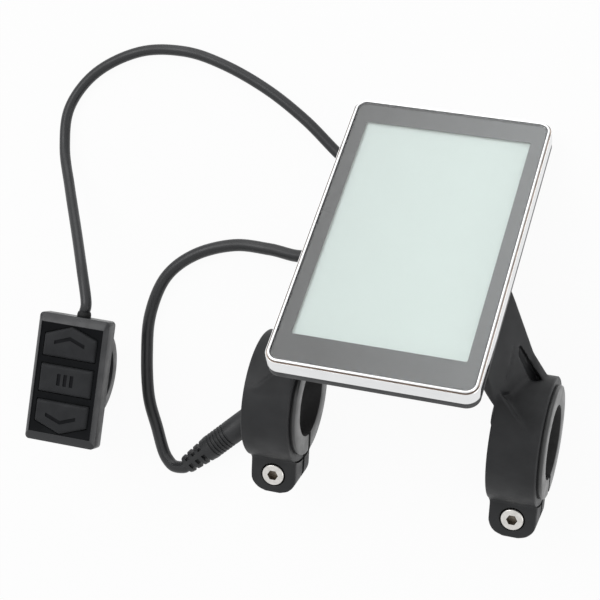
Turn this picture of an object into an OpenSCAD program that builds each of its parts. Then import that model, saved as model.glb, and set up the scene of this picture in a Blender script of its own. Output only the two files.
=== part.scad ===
// Handlebar display for an electric bicycle: a framed screen on two clamp arms,
// a three-button keypad with its own bar clamp, and the lead with its plug.
// Lengths are millimetres. The origin is the middle of the handlebar axis, X runs
// along the bar, and the parts lie on a flat surface below, as they were laid out.

/* [Glass and screen] */
// Width of the front glass
glass_w = 58.5; // [50:0.5:80]
// Length of the front glass
glass_l = 98.2; // [85:0.2:120]
// Thickness of the front glass
glass_t = 1.1; // [0.7:0.1:1.6]
// Corner radius of the front glass
glass_r = 2.8; // [1.5:0.1:5]
// Printed border at each side of the lit area
side_border = 4.05; // [3.5:0.05:6]
// Printed border above the lit area
high_border = 7.2; // [6.5:0.1:10]
// Printed border below the lit area
view_low = 9.7; // [7.5:0.1:12]
// Thickness of the printed mask and its adhesive
mask_t = 0.25; // [0.1:0.05:0.5]
// Border of the screen module outside the lit area
lcd_border = 1.5; // [0.5:0.1:1.8]
// Thickness of the screen module
lcd_t = 2; // [1.2:0.1:2.4]
// Thickness of the light guide behind the screen
guide_t = 1.4; // [0.8:0.1:2]
// Thickness of the circuit boards
board_t = 1.2; // [0.8:0.1:1.6]

/* [Frame and cover] */
// Width of the bright lip round the glass
lip_w = 0.9; // [0.6:0.1:1.6]
// Width of the shadow groove outside the lip
groove_w = 0.3; // [0.2:0.05:0.6]
// Depth of the shadow groove
groove_d = 0.6; // [0.4:0.1:0.9]
// Width of the side band outside the groove
band_w = 0.3; // [0.2:0.05:0.8]
// Depth of the bright frame from front to back
frame_d = 4.1; // [3.6:0.1:5]
// Height of the lip above the glass
lip_rise = 0.15; // [0.05:0.05:0.4]
// Width of the frame's inner ledge under the glass
ledge_w = 1.8; // [1.2:0.1:2]
// Depth from the glass front to the back of the cover
cover_d = 13.5; // [13:0.5:18]
// Depth at which the cover starts to draw in
cover_straight_d = 6; // [5:0.5:7]
// Draw-in of the cover's back edge
cover_draw = 5.8; // [5:0.2:6]
// Wall of the cover
cover_wall = 1.8; // [1.4:0.1:2.4]
// Step of the cover inside the frame's outline
cover_step = 0.35; // [0.2:0.05:0.8]
// Radius of the cover screws' shanks
cover_screw_r = 0.9; // [0.7:0.05:1.1]
// Radius of the cover screws' heads
cover_head_r = 1.6; // [1.4:0.1:1.8]

/* [Bar clamps] */
// Diameter of the handlebar that the reducers fit
bar_dia = 22.2; // [22.2:0.1:26]
// Diameter of the clamps' own bores
clamp_bore = 31.8; // [31.8:0.1:33]
// Outer radius of the clamp rings
ring_r = 19.4; // [18.6:0.2:21]
// Width of each clamp ring
clamp_w = 14.6; // [12:0.2:18]
// Distance between the two clamp rings' centres
clamp_gap = 74.5; // [70:0.5:90]
// Angle between the screen and the clamps' split direction
face_angle = 31.2; // [25:0.2:40]
// Height of the bar axis above the glass's lower edge, along the screen
bar_rise = 20.4; // [15:0.2:30]
// Depth of the bar axis behind the glass
bar_back = 50.2; // [46:0.2:60]
// Width of the split
split_w = 2; // [1:0.2:3]
// Width of the screw lugs
lug_w = 14.4; // [11:0.2:14.6]
// Radius of the screw lugs' lower corners
lug_r = 5.2; // [3:0.2:6]
// Front of the screw lug, ahead of the bar axis
lug_front = 8; // [7.4:0.2:10]
// Back of the screw lug, behind the bar axis
lug_back = 6.7; // [6:0.1:9]
// Clamp screw's distance below the bar axis
screw_drop = 23.5; // [22.8:0.1:26]
// Lug material below the clamp screw's centre
lug_below = 6; // [5:0.2:8]

/* [Clamp screws] */
// Shank radius of the clamp screws
screw_r = 1.95; // [1.4:0.05:2.4]
// Head radius of the clamp screws
head_r = 3.5; // [3:0.1:4]
// Head height of the clamp screws
head_h = 4; // [3:0.1:4.4]
// Width across flats of the hexagon socket
key_flats = 3; // [2.5:0.5:3.5]
// Depth of the hexagon socket
key_deep = 2; // [1:0.1:2.4]
// Width across flats of the clamp nuts
nut_flats = 7; // [6:0.1:7.4]
// Thickness of the clamp nuts
nut_t = 3.2; // [2.4:0.1:3.4]

/* [Reducers] */
// Radius of the reducers' end flanges
flange_r = 17; // [16.6:0.1:18.4]
// Thickness of the reducers' end flanges
flange_t = 1.5; // [1:0.1:2.5]

/* [Arms] */
// Thickness of the arms' seats behind the cover
seat_t = 3.4; // [3:0.1:5]
// Inner edge of the seat from the middle of the screen
seat_in = 12; // [11:0.5:14]
// Outer edge of the seat from the middle of the screen
seat_out = 34.4; // [33:0.2:37]
// Width of the seat where it meets the cover's edge
seat_side = 28.8; // [27:0.2:30]
// Lower end of the seat above the glass's lower edge
seat_low = 11; // [8:0.5:14]
// Start of the seat's widest part
seat_wide_low = 14.6; // [14:0.2:18]
// End of the seat's widest part
seat_wide_high = 28.6; // [24:0.2:34]
// Upper end of the seat
seat_high = 46.4; // [40:0.2:52]
// Height of the arm's waist above the bar axis
waist_z = 24.5; // [22:0.5:28]
// Thickness of the slice that forms the waist
waist_t = 1; // [0.5:0.1:2]
// Shank radius of the seat screws
seat_screw_r = 1.45; // [1:0.05:1.6]
// Head radius of the seat screws
seat_head_r = 2.75; // [2.2:0.05:3]
// Head height of the seat screws
seat_head_h = 1.8; // [1.2:0.1:2.2]

/* [Keypad] */
// Width of the keypad
pad_w = 23; // [20:0.5:28]
// Length of the keypad
pad_l = 39.5; // [36:0.5:46]
// Depth of the keypad's front shell
pad_front_d = 6; // [5.4:0.2:8]
// Depth of the keypad's case over all
pad_d = 10; // [9:0.5:13]
// Corner radius of the keypad's outline
pad_r = 1.3; // [0.8:0.1:2.5]
// Bevel at the keypad's ends
pad_bevel_end = 2.6; // [1.5:0.1:3]
// Bevel at the keypad's sides
pad_bevel_side = 1.2; // [0.6:0.1:1.4]
// Height of the bevels
pad_bevel_h = 1.2; // [0.6:0.1:1.4]
// Wall of the keypad's case
pad_wall = 1.4; // [1:0.1:1.6]
// Draw-in of the keypad's back
pad_draw = 2.2; // [1:0.2:3]
// Width of the keypad's clamp ring
pad_ring_w = 10; // [8:0.5:12]
// Wall of the keypad's clamp ring
pad_ring_wall = 3; // [2.4:0.1:4]
// Offset of the clamp ring from the middle of the keypad
pad_ring_off = -3.4; // [-5:0.2:0]
// Height of the bridge between case and bore
pad_neck = 2.4; // [2:0.1:4]
// Shank radius of the keypad's clamp screw
pad_screw_r = 1.45; // [1:0.05:1.5]
// Head radius of the keypad's clamp screw
pad_head_r = 2.6; // [2.2:0.1:2.8]
// Head height of the keypad's clamp screw
pad_head_h = 2.4; // [1.8:0.1:2.6]

/* [Buttons] */
// Gap between the buttons' sides and the keypad's bevels
key_side = 1.7; // [1.5:0.1:3]
// Half length of the middle button
key_mid = 4.35; // [3.5:0.05:4.6]
// Gap between neighbouring buttons
key_gap = 2.4; // [2:0.1:3]
// Gap between a pointed button's tip and the keypad's bevel
key_end = 0.5; // [0.4:0.1:1.5]
// Length of a pointed button's tip above its shoulders
key_tip = 3.1; // [2:0.1:3.3]
// Height of the buttons above the keypad's face
key_rise = 1; // [0.9:0.05:1.6]
// Travel of the buttons
key_travel = 0.7; // [0.4:0.05:0.8]
// Running clearance round the buttons
key_play = 0.2; // [0.1:0.05:0.3]
// Width of the strokes moulded into the buttons
mark_w = 0.9; // [0.5:0.05:1.2]
// Depth of the strokes moulded into the buttons
mark_d = 0.3; // [0.15:0.05:0.5]

/* [Leads and plug] */
// Diameter of the keypad's lead
lead_d = 3.4; // [3:0.1:4]
// Diameter of the main lead
main_d = 3.9; // [3.4:0.1:3.9]
// Radius of the plug's body
plug_r = 4; // [3.8:0.1:5]
// Radius of the plug's tail
plug_tail_r = 3; // [2.6:0.1:3.6]
// Length of the plug's flexible tail
plug_tail_l = 10; // [8:0.5:12]
// Length of the plug over all
plug_l = 27; // [25:0.5:30]
// Depth of the plug's socket
plug_deep = 7; // [5:0.5:8]
// Wall of the plug's socket
plug_wall = 1; // [0.7:0.1:1.2]
// Radius of the contact pins
pin_r = 0.4; // [0.25:0.05:0.5]
// Length of the contact pins in front of the insert
pin_l = 4.6; // [3:0.2:4.8]
// Radius of the circle on which the pins stand
pin_circle = 1.65; // [1.4:0.05:1.9]

/* [Hidden] */

// Facets of round parts, and of the round corners inside hulls
$fn = 96;
hull_fn = 32;
// Overrun of every cut
cut = 1;
// Clearance between parts that are fitted together
fit = 0.05;
// Clearance round parts that are dropped into a space
drop = 0.3;

// Screen stack, as depths behind the glass's front
view_w = glass_w - 2 * side_border;
view_l = glass_l - view_low - high_border;
mask_z = glass_t + mask_t;
lcd_z = mask_z + lcd_t;
guide_z = lcd_z + guide_t;
board_z = guide_z + board_t;
lcd_w = view_w + 2 * lcd_border;
lcd_l = view_l + 2 * lcd_border;
lcd_mid = view_low + view_l / 2;

// Frame and cover
rim_w = lip_w + groove_w + band_w + fit;
frame_w = glass_w + 2 * rim_w;
frame_l = glass_l + 2 * rim_w;
frame_r = glass_r + rim_w;
frame_mid = glass_l / 2;
ledge_t = 1.1;
well_w = frame_w - 2 * (rim_w + ledge_w);
well_low = view_low - lcd_border - drop;
well_high = view_low + view_l + lcd_border + drop;
well_r = 1;
band_drop = 0.25;
cover_w = frame_w - 2 * cover_step;
cover_l = frame_l - 2 * cover_step;
cover_r = frame_r - cover_step;
cover_back_w = cover_w - 2 * cover_draw;
cover_back_l = cover_l - 2 * cover_draw;
cover_back_r = cover_r;
slice = 0.01;
seal_w = 0.6;
seal_t = 0.6;
seal_in = 0.75;
// Corner posts of the frame, clear of the screen, and the screws that reach them
post_side = 6.75;
post_x = glass_w / 2 - post_side;
post_r = 2.1;
post_off = glass_l - well_high - post_r;
pilot_r = cover_screw_r + fit;
cover_head_h = 0.9;
tower_wall = 1.6;
tower_r = 2.6;
cover_head_in = post_off - cover_head_r + rim_w - cover_step;
cover_head_z = cover_straight_d + (cover_d - cover_straight_d) * min(1, cover_head_in / cover_draw);
post_end = cover_head_z - cover_head_h - tower_wall - fit;
pilot_end = mask_z + ledge_t;
tip_gap = 0.6;
boss_r = 3.3;
boss_h = 3.6;
boss_blind = 0.8;

// Chip and lead sockets on the back of the main board
chip_w = 12;
chip_t = 1.4;
chip_x = 6;
chip_y = 62;
socket_w = 7.5;
socket_l = 5;
socket_t = 3;
socket_x = 8;
socket_y = 46;

// Cable outlet box on the back of the cover
box_w = 21;
box_low = 19;
box_high = 31;
box_d = 7;
box_wall = 1.4;
box_r = 1.6;
gland_x = 5.2;
gland_hole_r = 2.35;
gland_flange_r = 2.75;
gland_flange_t = 1;
gland_end_r = 2.05;
gland_l = 9;
gland_ring_w = 0.9;
gland_ring_d = 0.4;
gland_rings = 4;
outlet_z = cover_d + gland_flange_r + fit;

// Clamps and arms, in the clamps' own frame: split towards -Z, screws along Y
bore_r = clamp_bore / 2;
hole_r = bar_dia / 2;
in_x = clamp_gap / 2 - clamp_w / 2;
out_x = clamp_gap / 2 + clamp_w / 2;
lug_top = 12;
head_play = 0.3;
head_proud = 0.3;
shank_play = 0.25;
nut_sunk = 0.2;
nut_play = 0.1;
shank_short = 0.4;
sink_r = head_r + head_play;
sink_d = head_h - head_proud;
shank_hole_r = screw_r + shank_play;
nut_pocket_d = nut_t + nut_sunk;
screw_l = lug_front + lug_back - sink_d - shank_short;
// Places of the arm's corners, as shares of the ring's radius
root_in_y_share = 0.72;
root_in_z_share = 0.77;
root_out_y_share = 0.9;
root_out_z_share = 0.465;
root_back_share = 0.41;
root_thick_share = 0.05;
root_set = 2.2;
waist_front = 24.8;
waist_back = 3;
waist_in = 28;
waist_out = 37;
loft_in = 25;
loft_set = 0.4;
pocket_front = 9;
pocket_back = 1.4;
pocket_z0 = 20.5;
pocket_z1 = 34;
pocket_in = 34.2;
pocket_out = 42;
seat_hole_x = 18;
seat_hole_low = 17;
seat_hole_high = 39;
seat_screw_l = 6.4;

// Lying pose: the ring and the cover's far edge both touch the surface
edge_y = glass_l + rim_w - cover_step - cover_draw - bar_rise;
edge_z = bar_back - cover_d;
edge_far = norm([edge_y, edge_z]);
edge_turn = atan2(edge_z, edge_y);
face_lie = edge_turn - asin((-ring_r) / edge_far) ;
lie = -face_lie;
table_z = -ring_r;

// Keypad, in its own frame: origin in the middle of its face, +Y to the lead
pad_bore_r = bar_dia / 2;
pad_ring_r = pad_bore_r + pad_ring_wall;
pad_axis = pad_d + pad_neck + pad_bore_r;
pad_x = -101.3;
pad_y = -4.7;
pad_turn = 0;
pad_z = table_z + pad_ring_r + pad_axis;
pad_skin = 1.3;
pad_field = 0.3;
pad_board_z = pad_front_d - board_t;
dome_r = 3;
dome_h = 0.35;
dome_flat_share = 0.7;
key_skirt = 0.9;
key_skirt_t = 0.8;
key_plunger_r = 1.6;
key_draft = 0.35;
key_r = 0.8;
up_y = key_mid + key_gap;
key_half = pad_w / 2 - pad_bevel_side - key_side;
key_shoulder = pad_l / 2 - pad_bevel_end - key_end - key_tip - up_y;
stroke_half = 4.4;
stroke_drop = 2.5;
bar_half = 3.6;
bar_step = 2.1;
pad_split = 1.6;
pad_lug_t = 3.6;
pad_lug_out = 19.5;
pad_lug_hole = 15.9;
pad_nut_flats = 5.5;
pad_nut_t = 2.2;
pad_post_in = 2.75;
pad_post_side = 3.3;
pad_post_y = pad_l / 2 - pad_post_in;
pad_post_x = pad_w / 2 - pad_post_side;
pad_case_screw_r = 0.8;
pad_case_head_r = 1.5;
pad_case_head_h = 1;
pad_case_screw_l = 4;
pad_post_r = 1.7;
pad_case_head_in = min(pad_l / 2 - pad_post_y, pad_w / 2 - pad_post_x) - pad_case_head_r;
pad_case_head_z = pad_front_d + (pad_d - pad_front_d) * min(1, pad_case_head_in / pad_draw);
pad_gland_x = 1.3;
pad_gland_z = 5;
pad_gland_r = 2.15;
pad_gland_l = 1.6;
pad_gland_neck = 1.9;
pad_screw_end = pad_case_head_z - pad_case_head_h - pad_case_screw_l;

// Plug on the surface, its tail first
plug_x = -70.3;
plug_y = -29.7;
plug_turn = 44.4;
plug_z = table_z + plug_r;
plug_run = 1.2;
rib_w = 1.3;
rib_d = 0.55;
rib_pitch = 2.6;
rib_count = 3;
rib_start = 1.6;
ring_w = 0.55;
ring_d = 0.35;
ring_pitch = 1.2;
ring_count = 6;
ring_start = 11.2;
insert_play = 0.1;
insert_t = 3;
key_notch_w = 1.2;
key_notch_h = 0.6;
pin_count = 5;
pin_root = 1.5;

// Rounded rectangle, exact arcs, centred on the origin
module rounded(w, l, r) {
    square([w - 2 * r, l], center = true);
    square([w, l - 2 * r], center = true);
    for (sx = [-1, 1], sy = [-1, 1])
        translate([sx * (w / 2 - r), sy * (l / 2 - r)]) circle(r = r);
}
// The same, standing on depth z1 and reaching up to depth z0 behind the glass
module plate(w, l, r, z0, z1) {
    translate([0, 0, -z1]) linear_extrude(height = z1 - z0) rounded(w, l, r);
}
module disc(r, h) { cylinder(r = r, h = h); }
module hexagon(flats, h) { cylinder(r = flats / sqrt(3), h = h, $fn = 6); }

// Screen frame: origin at the middle of the glass's lower edge, Z out of the glass
module at_face() {
    rotate([lie, 0, 0]) translate([0, -bar_rise, bar_back]) children();
}
// Clamp frame: bar axis along X, split towards -Z
module at_clamp() { rotate([lie - face_angle, 0, 0]) children(); }
// The screen frame as seen from the clamp frame
module face_from_clamp() {
    rotate([face_angle, 0, 0]) translate([0, -bar_rise, bar_back]) children();
}
module at_pad() { translate([pad_x, pad_y, pad_z]) rotate([0, 0, pad_turn]) children(); }
module at_plug() {
    translate([plug_x, plug_y, plug_z]) rotate([0, 0, plug_turn]) rotate([0, 90, 0]) children();
}

module front_glass() color([0.1, 0.11, 0.12, 0.5]) at_face()
    translate([0, frame_mid, 0]) plate(glass_w, glass_l, glass_r, 0, glass_t);

module print_mask() color([0.04, 0.04, 0.05]) at_face() difference() {
    translate([0, frame_mid, 0]) plate(glass_w - 2 * fit, glass_l - 2 * fit, glass_r, glass_t, mask_z);
    translate([0, lcd_mid, 0]) plate(view_w, view_l, well_r, glass_t - cut, mask_z + cut);
}

module lcd_panel() color([0.83, 0.87, 0.85]) at_face()
    translate([-lcd_w / 2, lcd_mid - lcd_l / 2, -lcd_z]) cube([lcd_w, lcd_l, lcd_t]);

module light_guide() color("white") at_face()
    translate([-lcd_w / 2, lcd_mid - lcd_l / 2, -guide_z]) cube([lcd_w, lcd_l, guide_t]);

// Places of the four corner posts, at depth z behind the glass
module at_posts(z)
    for (x = [-post_x, post_x], y = [post_off, glass_l - post_off]) translate([x, y, -z]) children();

// Frame: lip, groove and band outside, ledge under the glass, skirt, four screw posts
module chrome_frame() color([0.85, 0.86, 0.88]) at_face() difference() {
    union() {
        translate([0, frame_mid, 0]) difference() {
            union() {
                plate(frame_w - 2 * (band_w + groove_w), frame_l - 2 * (band_w + groove_w),
                    frame_r - band_w - groove_w, -lip_rise, frame_d);
                plate(frame_w - 2 * band_w, frame_l - 2 * band_w, frame_r - band_w, groove_d, frame_d);
                difference() {
                    plate(frame_w, frame_l, frame_r, band_drop, frame_d);
                    plate(frame_w - 2 * band_w, frame_l - 2 * band_w, frame_r - band_w,
                        band_drop - cut, groove_d);
                }
            }
            plate(glass_w + 2 * fit, glass_l + 2 * fit, glass_r + fit, -lip_rise - cut, mask_z);
            plate(frame_w - 2 * rim_w, frame_l - 2 * rim_w, glass_r, mask_z + ledge_t, frame_d + cut);
        }
        at_posts(post_end) disc(post_r, post_end - mask_z);
    }
    translate([-well_w / 2, well_low, -frame_d - cut])
        cube([well_w, well_high - well_low, frame_d + cut]);
    at_posts(post_end + cut) disc(pilot_r, post_end - pilot_end + cut);
}

// Rubber ring between the frame's skirt and the groove in the cover's edge
module ring_plate(in, w, z0, z1) translate([0, frame_mid, 0]) difference() {
    plate(frame_w - 2 * in, frame_l - 2 * in, frame_r - in, z0, z1);
    plate(frame_w - 2 * (in + w), frame_l - 2 * (in + w), frame_r - in - w, z0 - cut, z1 + cut);
}
module cover_seal() color([0.08, 0.08, 0.08]) at_face()
    ring_plate(seal_in, seal_w, frame_d, frame_d + seal_t);

module main_board() color([0.05, 0.3, 0.15]) at_face()
    translate([-lcd_w / 2, lcd_mid - lcd_l / 2, -board_z]) cube([lcd_w, lcd_l, board_t]);

// Parts on the back of the board
module on_board(x, y, w, l, t) at_face()
    translate([x - w / 2, y - l / 2, -board_z - t]) cube([w, l, t]);
module driver_chip() color([0.06, 0.06, 0.07]) on_board(-chip_x, chip_y, chip_w, chip_w, chip_t);
module keypad_socket() color([0.92, 0.9, 0.84])
    on_board(socket_x, socket_y, socket_w, socket_l, socket_t);
module main_socket() color([0.92, 0.9, 0.84])
    on_board(-socket_x, socket_y, socket_w, socket_l, socket_t);

// Body of the cover, drawn in towards the back
module cover_form(inset, z0, z1) translate([0, frame_mid, 0]) {
    plate(cover_w - 2 * inset, cover_l - 2 * inset, cover_r - inset, z0, cover_straight_d);
    hull() {
        for (step = [[0, cover_straight_d], [cover_draw, z1]])
            translate([0, 0, -step[1]]) linear_extrude(height = slice)
                rounded(cover_w - 2 * (inset + step[0]), cover_l - 2 * (inset + step[0]),
                    cover_r - inset, $fn = hull_fn);
    }
}
// Places of the four seat screws, at depth z behind the glass
module at_seats(z)
    for (x = [-seat_hole_x, seat_hole_x], y = [seat_hole_low, seat_hole_high])
        translate([x, y, -z]) children();
module rear_cover() color([0.13, 0.13, 0.14]) at_face() difference() {
    union() {
        difference() {
            cover_form(0, frame_d + fit, cover_d);
            // Hollow, less the screw towers and the bosses of the seats
            difference() {
                cover_form(cover_wall, frame_d - cut, cover_d - cover_wall);
                at_posts(cover_d) disc(tower_r, cover_d - post_end - fit);
                at_seats(cover_d) disc(boss_r, cover_wall + boss_h);
            }
        }
        // Outlet box of the two leads
        translate([0, (box_low + box_high) / 2, 0])
            plate(box_w, box_high - box_low, box_r, cover_d - cover_wall / 2, cover_d + box_d);
    }
    ring_plate(seal_in - fit, seal_w + 2 * fit, frame_d, frame_d + seal_t);
    translate([0, (box_low + box_high) / 2, 0])
        plate(box_w - 2 * box_wall, box_high - box_low - 2 * box_wall, well_r,
            cover_d - cover_wall - cut, cover_d + box_d - box_wall);
    for (x = [-gland_x, gland_x])
        translate([x, box_high - box_wall - cut, -outlet_z]) rotate([-90, 0, 0])
            disc(gland_hole_r, box_wall + 2 * cut);
    at_posts(post_end + fit) disc(post_r + 2 * fit, post_end - frame_d);
    at_posts(cover_d + cut) {
        disc(cover_head_r + 2 * fit, cover_d + cut - cover_head_z + cover_head_h);
        disc(cover_screw_r + 2 * fit, cover_d);
    }
    at_seats(cover_d + cut) disc(seat_screw_r + fit, cut + cover_wall + boss_h - boss_blind);
}

module cover_screw(x, y) color([0.6, 0.6, 0.62]) at_face()
    translate([x, y, -cover_head_z]) difference() {
        union() {
            disc(cover_head_r, cover_head_h);
            disc(cover_screw_r, cover_head_z - pilot_end - tip_gap);
        }
        translate([0, 0, -cut]) hexagon(cover_screw_r, cut + cover_head_h / 2);
    }
module cover_screw_1() cover_screw(-post_x, post_off);
module cover_screw_2() cover_screw(post_x, post_off);
module cover_screw_3() cover_screw(-post_x, glass_l - post_off);
module cover_screw_4() cover_screw(post_x, glass_l - post_off);

// Rubber strain relief: flange inside the box, neck in its wall, ringed sleeve outside
module gland(x) color([0.09, 0.09, 0.09]) at_face()
    translate([x, box_high - box_wall, -outlet_z]) rotate([-90, 0, 0]) rotate_extrude()
        polygon(concat(
            [[0, -gland_flange_t], [gland_flange_r, -gland_flange_t], [gland_flange_r, 0],
             [gland_hole_r, 0], [gland_hole_r, box_wall], [gland_flange_r, box_wall],
             [gland_flange_r, box_wall + gland_flange_t]],
            [for (i = [0:gland_rings - 1], k = [0:3])
                let (z = box_wall + gland_flange_t + gland_ring_w * (2 * i + (k < 2 ? 0 : 1)),
                     r = gland_hole_r - (gland_hole_r - gland_end_r) * i / gland_rings)
                [r - (k == 1 || k == 2 ? gland_ring_d : 0), z]],
            [[gland_end_r, gland_l], [0, gland_l]]));
module keypad_gland() gland(gland_x);
module main_gland() gland(-gland_x);

// Clamp arms: the right one, and its mirror image

// Outline of the seat, drawn in by s
module seat_outline(s) polygon([
    [seat_in + s, seat_low + s], [seat_side - s, seat_low + s], [seat_out - s, seat_wide_low + s],
    [seat_out - s, seat_wide_high - s], [seat_side - s, seat_high - s], [seat_in + s, seat_high - s]]);
// The part of the seat that the arm runs into, inside the seat's own thickness
module loft_end() face_from_clamp() translate([0, 0, -cover_d - seat_t + loft_set])
    linear_extrude(height = seat_t / 2) intersection() {
        seat_outline(loft_set);
        translate([loft_in, 0]) square([seat_out, glass_l]);
    }
module root_slab(x, w, front, z, back, thick)
    translate([x, -front, z - thick]) cube([w, front + back, thick]);
module arm() difference() {
    union() {
        translate([in_x, 0, 0]) rotate([0, 90, 0]) disc(ring_r, clamp_w);
        // Screw lugs under the ring
        translate([clamp_gap / 2, lug_back, 0]) rotate([90, 0, 0])
            linear_extrude(height = lug_back + lug_front) {
                translate([-lug_w / 2, -screw_drop - lug_below + lug_r])
                    square([lug_w, screw_drop + lug_below - lug_r - lug_top]);
                translate([-lug_w / 2 + lug_r, -screw_drop - lug_below])
                    square([lug_w - 2 * lug_r, lug_r]);
                for (s = [-1, 1])
                    translate([s * (lug_w / 2 - lug_r), -screw_drop - lug_below + lug_r])
                        circle(r = lug_r);
            }
        // Root of the arm, from the ring's top to the waist
        hull() {
            root_slab(in_x, waist_t, ring_r * root_in_y_share, ring_r * root_in_z_share,
                ring_r * root_back_share, ring_r * root_thick_share);
            root_slab(out_x - root_set - waist_t, waist_t, ring_r * root_out_y_share,
                ring_r * root_out_z_share, ring_r * root_back_share, ring_r * root_thick_share);
            root_slab(out_x - root_set - waist_t, waist_t, ring_r * root_in_y_share, ring_r * root_in_z_share,
                ring_r * root_back_share, ring_r * root_thick_share);
            translate([waist_in, -waist_front, waist_z])
                cube([waist_out - waist_in, waist_front + waist_back, waist_t]);
        }
        // From the waist to the seat
        hull() {
            translate([waist_in, -waist_front, waist_z])
                cube([waist_out - waist_in, waist_front + waist_back, waist_t]);
            loft_end();
        }
        face_from_clamp() translate([0, 0, -cover_d - seat_t])
            linear_extrude(height = seat_t) seat_outline(0);
    }
    translate([in_x - cut, 0, 0]) rotate([0, 90, 0]) disc(bore_r, clamp_w + 2 * cut);
    translate([in_x - cut, -split_w / 2, -screw_drop - lug_below - cut])
        cube([clamp_w + 2 * cut, split_w, screw_drop + lug_below + cut]);
    // Room for the reducers' flanges
    for (x = [in_x - flange_t - cut, out_x])
        translate([x, 0, 0]) rotate([0, 90, 0]) disc(flange_r + fit, flange_t + cut);
    // Clamp screw's hole, its head's recess and the nut's pocket
    translate([clamp_gap / 2, -lug_front, -screw_drop]) rotate([-90, 0, 0]) {
        translate([0, 0, -cut]) disc(sink_r, sink_d + cut);
        disc(shank_hole_r, lug_front + lug_back + cut);
    }
    translate([clamp_gap / 2, lug_back + cut, -screw_drop]) rotate([90, 0, 0])
        hexagon(nut_flats + 2 * nut_play, nut_pocket_d + cut);
    // Pocket in the outer side
    hull() {
        translate([pocket_in, -pocket_front, pocket_z0]) cube([pocket_out, pocket_front + pocket_back, waist_t]);
        translate([pocket_in, pocket_back - waist_t, pocket_z1]) cube([pocket_out, waist_t, waist_t]);
    }
    // Seat screws, from below
    face_from_clamp() for (y = [seat_hole_low, seat_hole_high])
        translate([seat_hole_x, y, -cover_d - seat_t - cut]) {
            disc(seat_screw_r + 2 * fit, seat_t + 2 * cut);
            disc(seat_head_r + 2 * fit, seat_head_h + cut);
        }
}
module right_arm() color([0.1, 0.1, 0.11]) at_clamp() arm();
module left_arm() color([0.1, 0.1, 0.11]) at_clamp() mirror([1, 0, 0]) arm();

module seat_screw(x, y) color([0.2, 0.2, 0.21]) at_face()
    translate([x, y, -cover_d - seat_t]) difference() {
        union() {
            disc(seat_head_r, seat_head_h - fit);
            disc(seat_screw_r, seat_screw_l);
        }
        translate([0, 0, -cut]) hexagon(seat_screw_r, cut + seat_head_h / 2);
    }
module seat_screw_1() seat_screw(-seat_hole_x, seat_hole_low);
module seat_screw_2() seat_screw(-seat_hole_x, seat_hole_high);
module seat_screw_3() seat_screw(seat_hole_x, seat_hole_low);
module seat_screw_4() seat_screw(seat_hole_x, seat_hole_high);

// Split reducer with a flange at its outer end; both flanges face the same way
module reducer(x) translate([x, 0, 0]) difference() {
    rotate([0, 90, 0]) {
        translate([0, 0, in_x]) disc(bore_r - fit, clamp_w);
        translate([0, 0, out_x]) disc(flange_r, flange_t);
    }
    translate([in_x - cut, 0, 0]) rotate([0, 90, 0]) disc(hole_r, clamp_w + flange_t + 2 * cut);
    translate([in_x - cut, -split_w / 2, -flange_r - cut])
        cube([clamp_w + flange_t + 2 * cut, split_w, flange_r + cut]);
}
module right_reducer() color([0.2, 0.2, 0.21]) at_clamp() reducer(0);
module left_reducer() color([0.2, 0.2, 0.21]) at_clamp() reducer(-clamp_gap);

module clamp_screw(x) color([0.78, 0.76, 0.72]) at_clamp()
    translate([x, -lug_front + sink_d - head_h, -screw_drop]) rotate([-90, 0, 0]) difference() {
        union() {
            disc(head_r, head_h);
            disc(screw_r, head_h + screw_l);
        }
        translate([0, 0, -cut]) hexagon(key_flats, key_deep + cut);
    }
module left_clamp_screw() clamp_screw(-clamp_gap / 2);
module right_clamp_screw() clamp_screw(clamp_gap / 2);

module clamp_nut(x) color([0.7, 0.7, 0.7]) at_clamp()
    translate([x, lug_back - nut_pocket_d, -screw_drop]) rotate([-90, 0, 0]) difference() {
        hexagon(nut_flats, nut_t);
        translate([0, 0, -cut]) disc(screw_r + fit, nut_t + 2 * cut);
    }
module left_clamp_nut() clamp_nut(-clamp_gap / 2);
module right_clamp_nut() clamp_nut(clamp_gap / 2);

// Outlines of the buttons, grown by g
module key_up_outline(g) polygon([
    [-key_half - g, up_y - g], [key_half + g, up_y - g],
    [key_half + g, up_y + key_shoulder + g], [0, up_y + key_shoulder + key_tip + g],
    [-key_half - g, up_y + key_shoulder + g]]);
module key_mid_outline(g) square([2 * (key_half + g), 2 * (key_mid + g)], center = true);

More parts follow.
